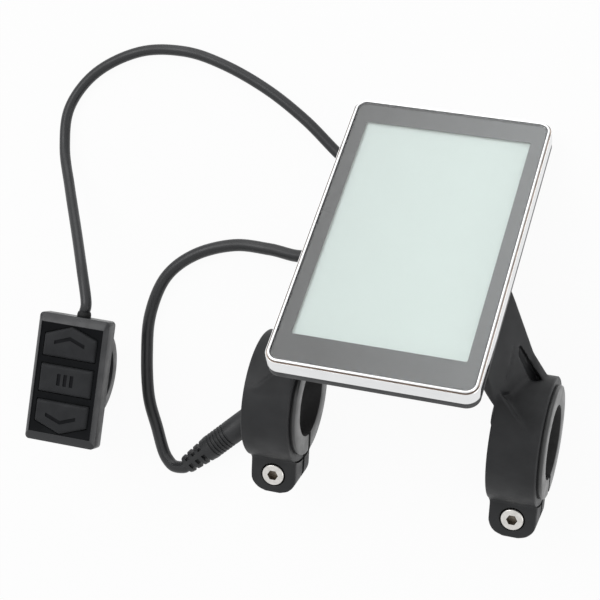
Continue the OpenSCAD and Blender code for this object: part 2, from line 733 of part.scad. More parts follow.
module pad_case() color([0.12, 0.13, 0.15]) at_pad() difference() {
    union() {
        translate([0, 0, -pad_front_d]) linear_extrude(height = pad_front_d - pad_bevel_h)
            rounded(pad_w, pad_l, pad_r);
        hull() {
            translate([0, 0, -pad_bevel_h - slice]) linear_extrude(height = slice)
                rounded(pad_w, pad_l, pad_r, $fn = hull_fn);
            translate([0, 0, -slice]) linear_extrude(height = slice)
                square([pad_w - 2 * pad_bevel_side, pad_l - 2 * pad_bevel_end], center = true);
        }
    }
    // Field of the buttons, a little below the bevels
    translate([0, 0, -pad_field]) linear_extrude(height = pad_field + cut)
        square([pad_w - 2 * pad_bevel_side - pad_field, pad_l - 2 * pad_bevel_end - pad_field],
            center = true);
    translate([0, 0, -pad_front_d - cut])
        linear_extrude(height = pad_front_d + cut - pad_field - pad_skin) difference() {
            rounded(pad_w - 2 * pad_wall, pad_l - 2 * pad_wall, pad_r / 2);
            for (s = [-1, 1]) translate([s * pad_post_x, s * pad_post_y]) circle(r = pad_post_r);
        }
    translate([0, 0, -pad_front_d]) linear_extrude(height = pad_front_d + cut) {
        key_up_outline(key_play);
        mirror([0, 1]) key_up_outline(key_play);
        key_mid_outline(key_play);
    }
    // Pilot holes of the case screws, and the outlet of the lead
    for (s = [-1, 1]) translate([s * pad_post_x, s * pad_post_y, -pad_front_d - cut])
        disc(pad_case_screw_r + fit, pad_front_d - pad_screw_end + tip_gap + cut);
    pad_outlet();
}
module pad_outlet() translate([pad_gland_x, pad_l / 2 - pad_wall - cut, -pad_gland_z])
    rotate([-90, 0, 0]) disc(pad_gland_neck + fit, pad_wall + 2 * cut);

// Button with a sloped crown, a retaining skirt and a plunger over its dome
module key_body(y, kind) difference() {
    union() {
        translate([0, 0, -pad_field - pad_skin - key_travel / 2])
            linear_extrude(height = pad_skin + key_travel / 2 + key_rise - key_draft) key_outline(kind, 0);
        translate([0, 0, -pad_field]) linear_extrude(height = key_rise)
            key_outline(kind, -key_draft);
        translate([0, 0, -pad_field - pad_skin - fit - key_skirt_t])
            linear_extrude(height = key_skirt_t) key_outline(kind, key_skirt);
        translate([0, y, -plunger_z]) disc(key_plunger_r, plunger_z - pad_field - pad_skin);
    }
    translate([0, 0, key_rise - pad_field - mark_d]) linear_extrude(height = mark_d + cut)
        key_mark(kind);
}
plunger_z = pad_board_z - dome_h - key_travel - 2 * fit;
module key_outline(kind, g) {
    if (kind == 0) key_mid_outline(g);
    if (kind == 1) key_up_outline(g);
    if (kind == -1) mirror([0, 1]) key_up_outline(g);
}
// Marks: an angle on the outer buttons, three short bars on the middle one
module key_mark(kind) {
    tip = up_y + key_shoulder;
    if (kind == 0) for (i = [-1:1]) translate([i * bar_step, 0])
        square([mark_w, bar_half], center = true);
    else mirror([0, kind < 0 ? 1 : 0]) polygon([
        [-stroke_half, tip - stroke_drop - mark_w], [0, tip - mark_w],
        [stroke_half, tip - stroke_drop - mark_w], [stroke_half, tip - stroke_drop],
        [0, tip], [-stroke_half, tip - stroke_drop]]);
}
key_y = up_y + key_shoulder / 2;
module button_up() color([0.2, 0.21, 0.22]) at_pad() key_body(key_y, 1);
module button_mode() color([0.2, 0.21, 0.22]) at_pad() key_body(0, 0);
module button_down() color([0.2, 0.21, 0.22]) at_pad() key_body(-key_y, -1);

module pad_board() color([0.05, 0.3, 0.15]) at_pad()
    translate([0, 0, -pad_board_z - board_t]) linear_extrude(height = board_t) difference() {
        square([pad_w - 2 * pad_wall - 2 * drop, pad_l - 2 * pad_wall - 2 * drop], center = true);
        for (s = [-1, 1]) translate([s * pad_post_x, s * pad_post_y])
            circle(r = pad_post_r + drop);
    }
module dome(y) color([0.75, 0.75, 0.72]) at_pad() translate([0, y, -pad_board_z])
    cylinder(r1 = dome_r, r2 = dome_r * dome_flat_share, h = dome_h);
module dome_up() dome(key_y);
module dome_mode() dome(0);
module dome_down() dome(-key_y);

// Back of the case with its bar clamp: ring, split and screw lugs on the -Y side
module pad_back() color([0.1, 0.1, 0.11]) at_pad() difference() {
    union() {
        hull() {
            translate([0, 0, -pad_front_d - slice]) linear_extrude(height = slice)
                rounded(pad_w - 2 * fit, pad_l - 2 * fit, pad_r, $fn = hull_fn);
            translate([0, 0, -pad_d]) linear_extrude(height = slice)
                rounded(pad_w - 2 * pad_draw, pad_l - 2 * pad_draw, pad_r, $fn = hull_fn);
        }
        translate([pad_ring_off - pad_ring_w / 2, 0, -pad_axis]) rotate([0, 90, 0])
            disc(pad_ring_r, pad_ring_w);
        // Neck between the case and the ring
        translate([pad_ring_off - pad_ring_w / 2, -pad_ring_r, -pad_axis])
            cube([pad_ring_w, 2 * pad_ring_r, pad_axis - pad_d + pad_wall / 2]);
        translate([pad_ring_off - pad_ring_w / 2, -pad_lug_out, -pad_axis - pad_split / 2 - pad_lug_t])
            cube([pad_ring_w, pad_lug_out - pad_bore_r, 2 * pad_lug_t + pad_split]);
    }
    // Space behind the board, between the case screws
    translate([0, 0, -pad_d + pad_wall]) linear_extrude(height = pad_d)
        rounded(pad_w - 2 * (pad_wall + pad_draw),
            2 * (pad_post_y - pad_case_head_r - pad_wall), pad_r / 2);
    pad_outlet();
    translate([pad_ring_off - pad_ring_w / 2 - cut, 0, -pad_axis]) rotate([0, 90, 0])
        disc(pad_bore_r, pad_ring_w + 2 * cut);
    translate([pad_ring_off - pad_ring_w / 2 - cut, -pad_lug_out - cut, -pad_axis - pad_split / 2])
        cube([pad_ring_w + 2 * cut, pad_lug_out + cut, pad_split]);
    // Clamp screw from below, nut above
    translate([pad_ring_off, -pad_lug_hole, -pad_axis - pad_split / 2 - pad_lug_t - cut]) {
        disc(pad_screw_r + 2 * fit, 2 * (pad_lug_t + cut) + pad_split);
        disc(pad_head_r + 2 * fit, pad_head_h / 2 + cut);
    }
    translate([pad_ring_off, -pad_lug_hole, -pad_axis + pad_split / 2 + pad_lug_t - pad_nut_t])
        hexagon(pad_nut_flats + 2 * nut_play, pad_nut_t + cut);
    for (s = [-1, 1]) translate([s * pad_post_x, s * pad_post_y, -pad_d - cut]) {
        disc(pad_case_screw_r + 2 * fit, pad_d);
        disc(pad_case_head_r + 2 * fit, pad_d + cut - pad_case_head_z + pad_case_head_h);
    }
}

module pad_case_screw(s) color([0.6, 0.6, 0.62]) at_pad()
    translate([s * pad_post_x, s * pad_post_y, -pad_case_head_z]) difference() {
        union() {
            disc(pad_case_head_r, pad_case_head_h);
            disc(pad_case_screw_r, pad_case_head_z - pad_screw_end);
        }
        translate([0, 0, -cut]) hexagon(pad_case_screw_r, cut + pad_case_head_h / 2);
    }
module pad_case_screw_1() pad_case_screw(-1);
module pad_case_screw_2() pad_case_screw(1);

module pad_clamp_screw() color([0.7, 0.7, 0.7]) at_pad()
    translate([pad_ring_off, -pad_lug_hole, -pad_axis - pad_split / 2 - pad_lug_t - pad_head_h / 2])
        difference() {
            union() {
                disc(pad_head_r, pad_head_h);
                disc(pad_screw_r, pad_head_h / 2 + 2 * pad_lug_t + pad_split - fit);
            }
            translate([0, 0, -cut]) hexagon(pad_screw_r, cut + pad_head_h / 2);
        }
module pad_clamp_nut() color([0.7, 0.7, 0.7]) at_pad()
    translate([pad_ring_off, -pad_lug_hole, -pad_axis + pad_split / 2 + pad_lug_t - pad_nut_t])
        difference() {
            hexagon(pad_nut_flats, pad_nut_t - fit);
            translate([0, 0, -cut]) disc(pad_screw_r + fit, pad_nut_t + 2 * cut);
        }

// Rubber sleeve of the keypad's lead: flange inside, neck in the wall, collar outside
module pad_gland() color([0.09, 0.09, 0.09]) at_pad()
    translate([pad_gland_x, pad_l / 2 - pad_wall, -pad_gland_z]) rotate([-90, 0, 0]) rotate_extrude()
        polygon([[0, 0], [pad_gland_neck, 0], [pad_gland_neck, pad_wall], [pad_gland_r, pad_wall],
            [pad_gland_r, pad_wall + pad_gland_l / 2], [pad_gland_neck, pad_wall + pad_gland_l],
            [0, pad_wall + pad_gland_l]]);

module plug_body() color([0.07, 0.07, 0.08]) at_plug() difference() {
    rotate_extrude() polygon(concat(
        [[0, 0], [plug_tail_r, 0]],
        [for (i = [0:rib_count - 1], k = [0:3])
            let (z = rib_start + rib_pitch * i + (k < 2 ? 0 : rib_w),
                 r = plug_tail_r + (plug_r - plug_tail_r) * z / plug_tail_l)
            [r - (k == 1 || k == 2 ? rib_d : 0), z]],
        [[plug_r, plug_tail_l]],
        [for (i = [0:ring_count - 1], k = [0:3])
            [plug_r - (k == 1 || k == 2 ? ring_d : 0),
             ring_start + ring_pitch * i + (k < 2 ? 0 : ring_w)]],
        [[plug_r, plug_l], [plug_r - plug_wall, plug_l], [plug_r - plug_wall, plug_l - plug_deep],
         [0, plug_l - plug_deep]]));
    // Notch that locates the mating plug
    translate([-key_notch_w / 2, plug_r - plug_wall - key_notch_h, plug_l - plug_deep])
        cube([key_notch_w, key_notch_h + plug_wall / 2, plug_deep + cut]);
}
module plug_insert() color([0.16, 0.16, 0.17]) at_plug()
    translate([0, 0, plug_l - plug_deep]) difference() {
        disc(plug_r - plug_wall - insert_play, insert_t);
        for (i = [0:pin_count - 1]) rotate([0, 0, 360 / pin_count * i])
            translate([pin_circle, 0, -cut]) disc(pin_r, insert_t + 2 * cut);
    }
module plug_pin(i) color([0.85, 0.7, 0.35]) at_plug()
    rotate([0, 0, 360 / pin_count * i])
        translate([pin_circle, 0, plug_l - plug_deep]) disc(pin_r, pin_l + pin_root);
module plug_pin_1() plug_pin(0);
module plug_pin_2() plug_pin(1);
module plug_pin_3() plug_pin(2);
module plug_pin_4() plug_pin(3);
module plug_pin_5() plug_pin(4);

// Ends of the leads, worked out from the pieces that hold them
function face_point(p) = let (y = p[1] - bar_rise, z = p[2] + bar_back)
    [p[0], y * cos(lie) - z * sin(lie), y * sin(lie) + z * cos(lie)];
face_up = [0, cos(lie), sin(lie)];
function box_mouth(x) = face_point([x, box_high - box_wall + gland_l, -outlet_z]);
pad_up = [-sin(pad_turn), cos(pad_turn), 0];
pad_mouth = [pad_x, pad_y, pad_z - pad_gland_z]
    + pad_gland_x * [cos(pad_turn), sin(pad_turn), 0] + (pad_l / 2 + pad_gland_l) * pad_up;
plug_dir = [cos(plug_turn), sin(plug_turn), 0];
plug_tail = [plug_x, plug_y, plug_z];

// Routes of the leads between those ends, by hand
keypad_route = [
    [-104.5, 29.4, 9], [-111.2, 40.3, 1], [-119.6, 53, -9.3], [-125.7, 65, -15.8],
    [-126.3, 78, -17.3], [-118.8, 90.1, -17.6], [-105, 98.4, -17.7], [-90, 100.3, -17.7],
    [-76, 97.6, -17.7], [-60.8, 91.6, -17.7], [-47, 83.6, -17.7], [-33, 73.4, -17.3],
    [-19, 66.5, -15.2], [-6, 60.5, -8.5], [2.5, 54, -1], [4.8, 47, 5]];
main_route = [
    [-6, 46, 5], [-10.5, 52.5, -2.5], [-19, 54.2, -8.5], [-30, 47, -12],
    [-41, 42, -14], [-52.8, 42.4, -16.4], [-65, 41.9, -17.3], [-77.5, 37, -17.4],
    [-86.2, 28.5, -17.4], [-89.8, 16, -17.4], [-89.2, 3, -17.4], [-86.7, -10.3, -17.4],
    [-82.4, -20, -17.3], [-79.4, -26.4, -17], [-77.2, -29.2, -16.5], [-74.6, -30.8, -15.9]];

// Smooth line through the points, each stretch cut in steps
function bend(a, b, c, d, t) = 0.5 * (2 * b + (c - a) * t + (2 * a - 5 * b + 4 * c - d) * t * t
    + (3 * b - a - 3 * c + d) * t * t * t);
function smooth(p, steps) = let (n = len(p)) [
    for (i = [0:n - 2], k = [0:steps - 1])
        bend(p[max(i - 1, 0)], p[i], p[i + 1], p[min(i + 2, n - 1)], k / steps),
    p[n - 1]];
function unit(v) = v / norm(v);
// One tube swept along the line; its end faces are square to the given directions
module tube(line, r, sides, first, last) {
    n = len(line);
    rings = [for (i = [0:n - 1])
        let (t = i == 0 ? first : i == n - 1 ? last : unit(line[i + 1] - line[i - 1]),
             s = unit(cross(t, [0, 0, 1])), w = cross(s, t))
        [for (k = [0:sides - 1]) line[i] + r * (cos(360 * k / sides) * s + sin(360 * k / sides) * w)]];
    polyhedron(
        points = [for (q = rings) each q],
        faces = concat(
            [[for (k = [sides - 1:-1:0]) k]],
            [for (i = [0:n - 2], k = [0:sides - 1]) let (a = i * sides + k, b = i * sides + (k + 1) % sides)
                each [[a, b + sides, a + sides], [a, b, b + sides]]],
            [[for (k = [0:sides - 1]) (n - 1) * sides + k]]));
}
lead_steps = 2;
lead_sides = 8;
module keypad_lead() color([0.09, 0.09, 0.1])
    tube(smooth(concat([pad_mouth, pad_mouth + lead_d * pad_up], keypad_route,
        [box_mouth(gland_x) + lead_d * face_up, box_mouth(gland_x)]), lead_steps),
        lead_d / 2, lead_sides, pad_up, -face_up);
module main_lead() color([0.09, 0.09, 0.1])
    tube(smooth(concat([box_mouth(-gland_x), box_mouth(-gland_x) + main_d * face_up], main_route,
        [plug_tail - plug_run * plug_dir, plug_tail]), lead_steps),
        main_d / 2, lead_sides, face_up, plug_dir);

front_glass();
print_mask();
lcd_panel();
light_guide();
chrome_frame();
cover_seal();
main_board();
driver_chip();
keypad_socket();
main_socket();
rear_cover();
cover_screw_1();
cover_screw_2();
cover_screw_3();
cover_screw_4();
keypad_gland();
main_gland();
left_arm();
right_arm();
seat_screw_1();
seat_screw_2();
seat_screw_3();
seat_screw_4();
left_reducer();
right_reducer();
left_clamp_screw();
right_clamp_screw();
left_clamp_nut();
right_clamp_nut();
pad_case();
pad_back();
pad_board();
dome_up();
dome_mode();
dome_down();
button_up();
button_mode();
button_down();
pad_case_screw_1();
pad_case_screw_2();
pad_clamp_screw();
pad_clamp_nut();
pad_gland();
keypad_lead();
main_lead();
plug_body();
plug_insert();
plug_pin_1();
plug_pin_2();
plug_pin_3();
plug_pin_4();
plug_pin_5();
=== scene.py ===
import math
import bmesh
import bpy
from mathutils import Matrix, Vector


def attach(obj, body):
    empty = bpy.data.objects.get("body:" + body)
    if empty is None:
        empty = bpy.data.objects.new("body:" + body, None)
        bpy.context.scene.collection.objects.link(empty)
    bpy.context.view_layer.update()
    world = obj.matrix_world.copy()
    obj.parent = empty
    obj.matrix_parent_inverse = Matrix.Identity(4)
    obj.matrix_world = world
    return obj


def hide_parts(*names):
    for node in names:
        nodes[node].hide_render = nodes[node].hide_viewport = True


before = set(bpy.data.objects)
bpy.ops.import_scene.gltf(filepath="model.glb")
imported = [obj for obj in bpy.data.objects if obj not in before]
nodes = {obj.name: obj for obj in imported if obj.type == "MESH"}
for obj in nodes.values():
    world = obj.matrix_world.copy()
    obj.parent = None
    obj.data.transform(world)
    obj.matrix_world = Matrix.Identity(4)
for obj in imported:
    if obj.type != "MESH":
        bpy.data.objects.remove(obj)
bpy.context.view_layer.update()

scene = bpy.context.scene

# frames: millimetres in, metres out
pose = {"lie": -40.33235, "faceAngle": 31.2, "barRise": 20.4, "barBack": 50.2, "faceMiddle": 49.1,
        "pad": (-101.3, -4.7, 18.2), "plug": (-70.3, -29.7, -15.4), "plugTurn": 44.4}
toMetres = Matrix.Scale(0.001, 4)
faceInClamp = (Matrix.Rotation(math.radians(pose["faceAngle"]), 4, "X")
               @ Matrix.Translation((0, -pose["barRise"], pose["barBack"])))
clampFrame = toMetres @ Matrix.Rotation(math.radians(pose["lie"] - pose["faceAngle"]), 4, "X")
faceFrame = clampFrame @ faceInClamp
padFrame = toMetres @ Matrix.Translation(pose["pad"])
alongX = Matrix.Rotation(math.radians(90), 4, "Y")
alongY = Matrix.Rotation(math.radians(-90), 4, "X")
plugSpin = Matrix.Rotation(math.radians(pose["plugTurn"]), 4, "Z")
plugFrame = toMetres @ Matrix.Translation(pose["plug"]) @ plugSpin @ alongX


# camera: where it stands, what it sees as right, down and ahead, and its lens
cameraView = {"spot": (0.114183, 0.076438, 0.544624), "right": (0.951949, 0.135757, -0.274523),
              "down": (0.153418, -0.987189, 0.043814), "ahead": (-0.265059, -0.083826, -0.960581),
              "lens": 112.05, "shift": (-0.0007, 0.0037)}


def makeCamera(c):
    data = bpy.data.cameras.new("camera")
    data.lens, data.sensor_width = c["lens"], 36
    data.shift_x, data.shift_y = c["shift"]
    data.clip_start, data.clip_end = 0.01, 20
    camera = bpy.data.objects.new("camera", data)
    scene.collection.objects.link(camera)
    turn = Matrix((c["right"], [-v for v in c["down"]], [-v for v in c["ahead"]])).transposed().to_4x4()
    camera.matrix_world = Matrix.Translation(c["spot"]) @ turn
    scene.camera = camera


makeCamera(cameraView)
print("camera set")


# materials
def newMaterial(name):
    mat = bpy.data.materials.new(name)
    mat.use_nodes = True
    tree = mat.node_tree
    return mat, tree, tree.nodes["Principled BSDF"]


def noise(tree, scale, detail=2.0):
    coords = tree.nodes.new("ShaderNodeTexCoord")
    tex = tree.nodes.new("ShaderNodeTexNoise")
    tex.inputs["Scale"].default_value = scale
    tex.inputs["Detail"].default_value = detail
    tree.links.new(coords.outputs["Object"], tex.inputs["Vector"])
    return tex.outputs["Fac"]


# stretches a value from start..end to low..high; a noise mostly lies between 0.3 and 0.7
def spread(tree, source, low, high, start=0.3, end=0.7):
    ranged = tree.nodes.new("ShaderNodeMapRange")
    ranged.inputs["From Min"].default_value = start
    ranged.inputs["From Max"].default_value = end
    ranged.inputs["To Min"].default_value = low
    ranged.inputs["To Max"].default_value = high
    tree.links.new(source, ranged.inputs["Value"])
    return ranged.outputs["Result"]


def blendColors(tree, source, a, b):
    mix = tree.nodes.new("ShaderNodeMix")
    mix.data_type = "RGBA"
    mix.inputs[6].default_value = (*a, 1)
    mix.inputs[7].default_value = (*b, 1)
    tree.links.new(source, mix.inputs[0])
    return mix.outputs[2]


def addBump(tree, shader, source, distance, strength=1.0):
    bump = tree.nodes.new("ShaderNodeBump")
    bump.inputs["Distance"].default_value = distance
    bump.inputs["Strength"].default_value = strength
    tree.links.new(source, bump.inputs["Height"])
    tree.links.new(bump.outputs["Normal"], shader.inputs["Normal"])


def blendShaders(tree, share, first, second, end):
    mix = tree.nodes.new("ShaderNodeMixShader")
    tree.links.new(share, mix.inputs[0])
    tree.links.new(first.outputs[0], mix.inputs[1])
    tree.links.new(second.outputs[0], mix.inputs[2])
    tree.links.new(mix.outputs[0], tree.nodes[end].inputs["Surface"])


# a moulded, cast or coated surface: patchy colour, uneven roughness, fine grain
def surface(name, color, rough=0.5, metal=0.0, patch=0.15, patchScale=220, uneven=0.07,
            grainScale=4200, grain=0.00003, coat=0.0, specular=0.5):
    mat, tree, shader = newMaterial(name)
    broad = noise(tree, patchScale, 3)
    fine = noise(tree, grainScale)
    low = [c * (1 - patch) for c in color]
    high = [min(1, c * (1 + patch)) for c in color]
    tree.links.new(blendColors(tree, spread(tree, broad, 0, 1), low, high), shader.inputs["Base Color"])
    tree.links.new(spread(tree, broad, rough + uneven, rough - uneven), shader.inputs["Roughness"])
    shader.inputs["Metallic"].default_value = metal
    shader.inputs["Coat Weight"].default_value = coat
    shader.inputs["Coat Roughness"].default_value = 0.08
    shader.inputs["Specular IOR Level"].default_value = specular
    if grain:
        addBump(tree, shader, fine, grain)
    return mat


# printed layer behind the glass, with a painted reflection: a little lighter towards its right side
maskPaintedReflection = {"lean": (1, 0.12, -0.1), "darkAt": -0.02, "lightAt": 0.06,
            "dark": (0.015, 0.0155, 0.0165), "light": (0.158, 0.161, 0.166)}


def maskMaterial(look):
    mat, tree, shader = newMaterial("printWithPaintedReflection")
    coords = tree.nodes.new("ShaderNodeTexCoord")
    lean = tree.nodes.new("ShaderNodeVectorMath")
    lean.operation = "DOT_PRODUCT"
    lean.inputs[1].default_value = look["lean"]
    tree.links.new(coords.outputs["Object"], lean.inputs[0])
    # painted reflection: the base colour blends from dark to light along the lean
    share = spread(tree, lean.outputs["Value"], 0, 1, look["darkAt"], look["lightAt"])
    tree.links.new(blendColors(tree, share, look["dark"], look["light"]), shader.inputs["Base Color"])
    tree.links.new(spread(tree, noise(tree, 40), 0.5, 0.6), shader.inputs["Roughness"])
    shader.inputs["Specular IOR Level"].default_value = 0.15
    return mat


# clear glass that casts no shadow
def glassMaterial():
    mat, tree, shader = newMaterial("clearGlass")
    shader.inputs["Base Color"].default_value = (0.97, 0.99, 0.985, 1)
    shader.inputs["Transmission Weight"].default_value = 1
    shader.inputs["IOR"].default_value = 1.5
    tree.links.new(spread(tree, noise(tree, 60), 0.0, 0.008), shader.inputs["Roughness"])
    clear = tree.nodes.new("ShaderNodeBsdfTransparent")
    path = tree.nodes.new("ShaderNodeLightPath")
    blendShaders(tree, path.outputs["Is Shadow Ray"], shader, clear, "Material Output")
    return mat


# reflective screen layer: fine electrode lines, faint cloudiness, and painted shade that makes it a little
# darker to the left
screenLookPaintedShade = {"left": (0.495, 0.557, 0.536), "right": (0.548, 0.616, 0.592), "leftAt": -0.028,
              "rightAt": 0.012, "lineScale": 310, "lineShare": 0.12, "dull": (0.965, 0.97, 0.968)}


def screenMaterial(look):
    mat, tree, shader = newMaterial("screenLayer")
    coords = tree.nodes.new("ShaderNodeTexCoord")
    split = tree.nodes.new("ShaderNodeSeparateXYZ")
    tree.links.new(coords.outputs["Object"], split.inputs["Vector"])
    # painted shade: the base colour is darker towards the left
    across = spread(tree, split.outputs["X"], 0, 1, look["leftAt"], look["rightAt"])
    base = blendColors(tree, across, look["left"], look["right"])
    lines = tree.nodes.new("ShaderNodeTexWave")
    lines.wave_type, lines.bands_direction = "BANDS", "X"
    lines.inputs["Scale"].default_value = look["lineScale"]
    tree.links.new(coords.outputs["Object"], lines.inputs["Vector"])
    cloud = noise(tree, 90, 3)
    both = tree.nodes.new("ShaderNodeMath")
    both.operation = "MULTIPLY_ADD"
    both.inputs[1].default_value = look["lineShare"]
    tree.links.new(lines.outputs["Fac"], both.inputs[0])
    tree.links.new(cloud, both.inputs[2])
    product = tree.nodes.new("ShaderNodeMix")
    product.data_type, product.blend_type = "RGBA", "MULTIPLY"
    product.inputs[0].default_value = 1
    tree.links.new(base, product.inputs[6])
    tree.links.new(blendColors(tree, both.outputs[0], look["dull"], (1, 1, 1)), product.inputs[7])
    tree.links.new(product.outputs[2], shader.inputs["Base Color"])
    tree.links.new(spread(tree, cloud, 0.5, 0.65), shader.inputs["Roughness"])
    shader.inputs["Specular IOR Level"].default_value = 0.25
    return mat


finishes = {
    "glass": glassMaterial(),
    "mask": maskMaterial(maskPaintedReflection),
    "screen": screenMaterial(screenLookPaintedShade),
    "chrome": surface("polishedChrome", (0.77, 0.775, 0.78), 0.1, 1.0, 0.02, 160, 0.04, grain=0),
    "groove": surface("groovePaintedShade", (0.42, 0.36, 0.32), 0.4, 1.0, 0.15, 300, grain=0),
    "cover": surface("coverPlastic", (0.030, 0.031, 0.033), 0.48, patch=0.12, grainScale=5200),
    "arm": surface("armNylon", (0.0245, 0.0253, 0.0268), 0.5, patch=0.16, patchScale=130, grainScale=5200,
                   specular=0.27),
    "reducer": surface("reducerPlastic", (0.062, 0.063, 0.064), 0.34, patch=0.1, grainScale=6000,
                       grain=0.00001, specular=0.45),
    "steel": surface("brightSteel", (0.64, 0.625, 0.6), 0.26, 1.0, 0.1, 900, 0.08, 5200, 0.000008),
    "darkSteel": surface("blackenedSteel", (0.12, 0.12, 0.125), 0.35, 1.0, 0.2, 900, 0.08, 5200, 0.00001),
    "padShell": surface("keypadShell", (0.0125, 0.0135, 0.016), 0.34, patch=0.12, grainScale=6500,
                        grain=0.00002),
    "padField": surface("keypadFieldPaintedShade", (0.004, 0.0046, 0.0056), 0.5, grainScale=6500, grain=0.00001,
                        specular=0.08),
    "button": surface("buttonRubber", (0.0205, 0.0215, 0.0235), 0.6, patch=0.12, grainScale=5200,
                      specular=0.2),
    "mark": surface("buttonMarkPaintedShade", (0.0095, 0.01, 0.0115), 0.55, patch=0.2, grainScale=5200, grain=0.00001,
                    specular=0.08),
    "drive": surface("socketPaintedShade", (0.21, 0.185, 0.155), 0.45, 1.0, 0.25, 900, 0.08, 5200, 0.00001),
    "lead": surface("leadSheath", (0.0125, 0.0135, 0.0155), 0.36, patch=0.18, patchScale=160,
                    grainScale=3800),
    "plug": surface("plugRubber", (0.0125, 0.0135, 0.015)),
    "insert": surface("insertPlastic", (0.03, 0.03, 0.033), 0.45, patch=0.1),
    "contact": surface("goldContact", (0.83, 0.62, 0.28), 0.25, 1.0, 0.08, 1500, 0.06),
    "gland": surface("glandRubber", (0.012, 0.0125, 0.013), 0.6, specular=0.25),
    "seal": surface("sealRubberAndPaintedBoreShade", (0.012, 0.012, 0.0125), 0.7),
    "diffuser": surface("diffuserSheet", (0.85, 0.86, 0.85), 0.6, patch=0.02),
    "board": surface("boardLacquer", (0.012, 0.085, 0.035), 0.3, patch=0.35, patchScale=650, coat=0.4),
    "chip": surface("chipResin", (0.02, 0.02, 0.022), 0.55, patch=0.12),
    "socket": surface("socketNylon", (0.72, 0.69, 0.6), 0.45, patch=0.05),
    "dome": surface("domeSteel", (0.62, 0.62, 0.6), 0.3, 1.0, 0.08, 900, 0.08),
}
print("materials made:", len(finishes))


# mesh helpers
def makeObject(name, verts, faces):
    mesh = bpy.data.meshes.new(name)
    mesh.from_pydata([tuple(v) for v in verts], [], faces)
    obj = bpy.data.objects.new(name, mesh)
    scene.collection.objects.link(obj)
    return obj


def bakeModifiers(obj):
    made = bpy.data.meshes.new_from_object(obj.evaluated_get(bpy.context.evaluated_depsgraph_get()))
    obj.modifiers.clear()
    old, obj.data = obj.data, made
    bpy.data.meshes.remove(old)
    return obj


def drop(*objs):
    for obj in objs:
        mesh = obj.data
        bpy.data.objects.remove(obj)
        bpy.data.meshes.remove(mesh)


# outward faces, smooth where it bends gently, sharp where it doesn't
def tidyShading(mesh, angle=32):
    bm = bmesh.new()
    bm.from_mesh(mesh)
    bmesh.ops.remove_doubles(bm, verts=bm.verts, dist=1e-7)
    bmesh.ops.recalc_face_normals(bm, faces=bm.faces)
    limit = math.radians(angle)
    for face in bm.faces:
        face.smooth = True
    for edge in bm.edges:
        edge.smooth = len(edge.link_faces) != 2 or edge.calc_face_angle() < limit
    bm.to_mesh(mesh)
    bm.free()


# places a finished piece, gives it its finish and hands it to its body
def hand(obj, place, finish, stands=(), body="display", angle=32):
    obj.data.transform(place)
    tidyShading(obj.data, angle)
    obj.data.materials.clear()
    obj.data.materials.append(finishes[finish])
    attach(obj, body)
    if stands:
        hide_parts(*stands)
    return obj


# a second finish on the faces that the test picks, measured in the piece's own frame
def paint(obj, place, finish, test):
    back = place.inverted()
    slot = len(obj.data.materials)
    obj.data.materials.append(finishes[finish])
    for face in obj.data.polygons:
        if test(back @ face.center):
            face.material_index = slot


def loft(rings, around=False):
    count = len(rings[0])
    verts = [p for ring in rings for p in ring]
    faces = []
    for i in range(len(rings) if around else len(rings) - 1):
        a, b = i * count, (i + 1) % len(rings) * count
        faces += [(a + k, a + (k + 1) % count, b + (k + 1) % count, b + k) for k in range(count)]
    if not around:
        faces += [tuple(range(count - 1, -1, -1)), tuple(range(len(verts) - count, len(verts)))]
    return verts, faces


def arcAngles(start, end, steps):
    return [math.radians(start + (end - start) * k / steps) for k in range(steps + 1)]


def roundedRect(w, l, r, z, midY, steps):
    points = []
    for cx, cy, start in ((1, 1, 0), (-1, 1, 90), (-1, -1, 180), (1, -1, 270)):
        x, y = cx * (w / 2 - r), midY + cy * (l / 2 - r)
        points += [(x + r * math.cos(t), y + r * math.sin(t), z) for t in arcAngles(start, start + 90, steps)]
    return points


# turned shape about +Z from (radius, height) points; radius 0 closes at a pole
def turned(profile, steps):
    verts, faces, rows = [], [], []
    turns = [2 * math.pi * k / steps for k in range(steps)]
    for r, z in profile:
        if r < 1e-6:
            rows.append([len(verts)] * steps)
            verts.append((0, 0, z))
        else:
            rows.append(list(range(len(verts), len(verts) + steps)))
            verts += [(r * math.cos(turn), r * math.sin(turn), z) for turn in turns]
    for a, b in zip(rows, rows[1:]):
        for k in range(steps):
            corners = [a[k], a[(k + 1) % steps], b[(k + 1) % steps], b[k]]
            face = tuple(dict.fromkeys(corners))
            if len(face) > 2:
                faces.append(face)
    return verts, faces


def prism(outline, z0, z1):
    return loft([[(x, y, z0) for x, y in outline], [(x, y, z1) for x, y in outline]])


def hexagon(flats, z0, z1):
    r = flats / math.sqrt(3)
    turns = [math.pi / 3 * k for k in range(6)]
    return prism([(r * math.cos(turn), r * math.sin(turn)) for turn in turns], z0, z1)


def blockOf(x0, x1, y0, y1, z0, z1):
    return prism([(x0, y0), (x1, y0), (x1, y1), (x0, y1)], z0, z1)


def moved(shape, matrix):
    return [matrix @ Vector(v) for v in shape[0]], shape[1]


def joined(shapes):
    verts, faces = [], []
    for v, f in shapes:
        start = len(verts)
        verts += v
        faces += [tuple(i + start for i in face) for face in f]
    return verts, faces


def cutAway(obj, shape, operation="DIFFERENCE"):
    tool = makeObject("cutter", *shape)
    tidyShading(tool.data)
    step = obj.modifiers.new("cut", "BOOLEAN")
    step.operation, step.solver, step.object = operation, "MANIFOLD", tool
    bakeModifiers(obj)
    drop(tool)
    return obj


